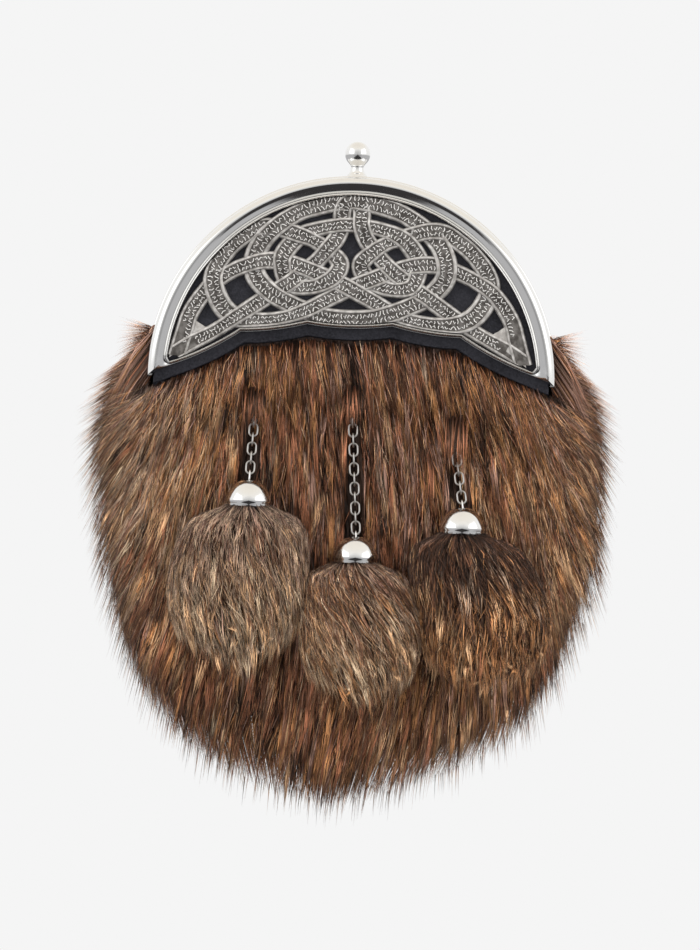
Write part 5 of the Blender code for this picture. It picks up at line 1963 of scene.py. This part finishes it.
@dataclass
class Studio:
    """The pale floor, the soft lights, the surroundings and the camera."""

    floor_drop: float = 0.5
    floor_half: float = 0.9
    backdrop: float = 0.913
    diffuse: float = 0.72
    mirrored: float = 1.15
    tent: tuple = (
        (0.0, (0.45, 0.45, 0.46)), (0.48, (0.45, 0.45, 0.46)), (0.515, (0.84, 0.84, 0.84)),
        (0.75, (0.90, 0.895, 0.885)), (0.90, (0.88, 0.84, 0.77)), (1.0, (0.84, 0.79, 0.72)),
    )
    gap_widths: tuple = ((0.0, 0.0), (0.004, 0.0), (0.02, 0.26), (0.06, 0.34), (0.21, 0.60), (0.45, 0.11),
                         (0.57, 0.0))
    gap_blur: tuple = (0.0, 0.07)
    gap_front: tuple = (-0.05, 0.0)
    gap_colour: tuple = (0.035, 0.033, 0.034)
    panel_side: tuple = (0.50, 0.58)
    panel_bottom: tuple = (0.06, 0.14)
    panel_top: tuple = (0.66, 0.58)
    panel_front: tuple = (-0.02, -0.12)
    panel_level: float = 1.45
    front_span: tuple = (-1.0, -0.72)
    front_share: float = 0.62
    aim: tuple = (0.0, -0.03, -0.08)
    camera_place: tuple = (0.00073, -4.042, -0.0783)
    camera_roll: float = 1.7
    lens: float = 504.9
    sensor: float = 36.0
    farthest: float = 50.0

    def camera(self) -> None:
        """Place the camera level in front, rolled as the photograph is."""
        data = bpy.data.cameras.new("camera")
        data.sensor_fit = "HORIZONTAL"
        data.sensor_width = self.sensor
        data.lens = self.lens
        data.clip_end = self.farthest
        obj = linked("camera", data)
        roll = math.radians(self.camera_roll)
        right = Vector((math.cos(roll), 0.0, math.sin(roll)))
        up = Vector((-math.sin(roll), 0.0, math.cos(roll)))
        turn = Matrix((right, up, Vector((0.0, -1.0, 0.0)))).transposed().to_4x4()
        obj.matrix_world = Matrix.Translation(Vector(self.camera_place)) @ turn
        bpy.context.scene.camera = obj

    def light(self, lamp: Lamp) -> None:
        """Add a soft rectangular light that faces the pouch and that metal doesn't mirror."""
        data = bpy.data.lights.new(lamp.name, "AREA")
        data.shape = "RECTANGLE"
        data.size, data.size_y = lamp.size
        data.energy = lamp.power
        data.color = lamp.colour
        obj = linked(lamp.name, data)
        turn = (Vector(lamp.place) - Vector(self.aim)).to_track_quat("Z", "Y").to_matrix().to_4x4()
        obj.matrix_world = Matrix.Translation(Vector(lamp.place)) @ turn
        obj.visible_glossy = False

    def gap(self, room: RoomNodes, x: Socket, y: Socket, height: Socket) -> Socket:
        """Mark the dark gap low in front, where the tent opens.

        Args:
            room: The world's nodes.
            x: Sideways part of each direction.
            y: Its part along the depth.
            height: Its height, from 0 below to 1 above.

        Returns:
            How far each direction lies in the gap.
        """
        half = room.ramp(height, [(place, grey(width)) for place, width in self.gap_widths])
        inside = room.ranged(room.maths("SUBTRACT", half, room.maths("ABSOLUTE", x, 0.0)), self.gap_blur)
        return room.maths("MULTIPLY", inside, room.ranged(y, self.gap_front, (1.0, 0.0)))

    def panels(self, room: RoomNodes, x: Socket, y: Socket, z: Socket) -> Socket:
        """Mark the two bright panels at the sides in front.

        Args:
            room: The world's nodes.
            x: Sideways part of each direction.
            y: Its part along the depth.
            z: Its upward part.

        Returns:
            How far each direction lies in the panels.
        """
        inside = room.ranged(room.maths("ABSOLUTE", x, 0.0), self.panel_side)
        for axis, ends in ((z, self.panel_bottom), (z, self.panel_top), (y, self.panel_front)):
            inside = room.maths("MULTIPLY", inside, room.ranged(axis, ends))
        return inside

    def surroundings(self) -> None:
        """Let the camera see an even pale backdrop, and light the scene by a white tent."""
        room = RoomNodes("studio")
        way = room.add("ShaderNodeTexCoord", {}).outputs["Generated"]
        x, y, z = room.add("ShaderNodeSeparateXYZ", {"Vector": way}).outputs
        height = room.ranged(z, (-1.0, 1.0))
        front = room.ranged(y, self.front_span, (self.front_share, 1.0))
        front = room.ramp(front, [(0.0, grey(0.0)), (1.0, grey(1.0))])
        shaded = room.mixed(1.0, room.ramp(height, self.tent), front, "MULTIPLY")
        bright = room.mixed(self.panels(room, x, y, z), shaded, grey(self.panel_level))
        colour = room.mixed(self.gap(room, x, y, height), bright, self.gap_colour)
        path = room.add("ShaderNodeLightPath", {}).outputs
        strength = room.ranged(path["Is Glossy Ray"], (0.0, 1.0), (self.diffuse, self.mirrored))
        lit = room.add("ShaderNodeBackground", {"Color": colour, "Strength": strength}).outputs[0]
        seen = room.add("ShaderNodeBackground", {"Color": grey(self.backdrop)}).outputs[0]
        shown = room.add("ShaderNodeMixShader", {0: path["Is Camera Ray"], 1: lit, 2: seen}).outputs[0]
        room.add("ShaderNodeOutputWorld", {"Surface": shown})

    def floor(self) -> None:
        """Lay a pale floor far below the hanging pouch."""
        bpy.ops.object.select_all(action="DESELECT")
        bpy.ops.mesh.primitive_plane_add(size=2.0 * self.floor_half, location=(0.0, 0.0, -self.floor_drop))
        floor = bpy.context.object
        floor.name = "floor"
        floor.data.materials.append(Paint("pale_floor").make())
        floor.visible_glossy = False

    def build(self) -> None:
        """Set up everything round the pouch."""
        bpy.context.scene.view_settings.view_transform = "Standard"
        bpy.context.scene.view_settings.look = "None"
        self.camera()
        for lamp in LAMPS:
            self.light(lamp)
        self.surroundings()
        self.floor()


def main() -> None:
    """Build every sub-assembly in order."""
    logging.basicConfig(level=logging.INFO, format="%(message)s")
    polish = Polish("chrome").make()
    leather = Leather("leather").make()
    thread = Thread("thread").make()
    fur = Fur("fur").make()
    under = UnderFurAndShade("under_fur_and_shade").make()
    Studio().build()
    Cantle().build(polish, leather)
    Knotwork().build(CastSilver("cast_silver").make())
    chain_metal = Polish("chain_metal", colour=(0.56, 0.545, 0.52), roughness=(0.26, 0.36), waviness=0.02)
    Chains().build(polish, chain_metal.make())
    PouchBack().build(leather, polish, thread)
    Coat().build(fur, under)
    for seed, row in enumerate(TASSELS, start=TASSEL_SEED):
        TasselFur(row, seed=seed).build(fur, under)


if __name__ == "__main__":
    main()
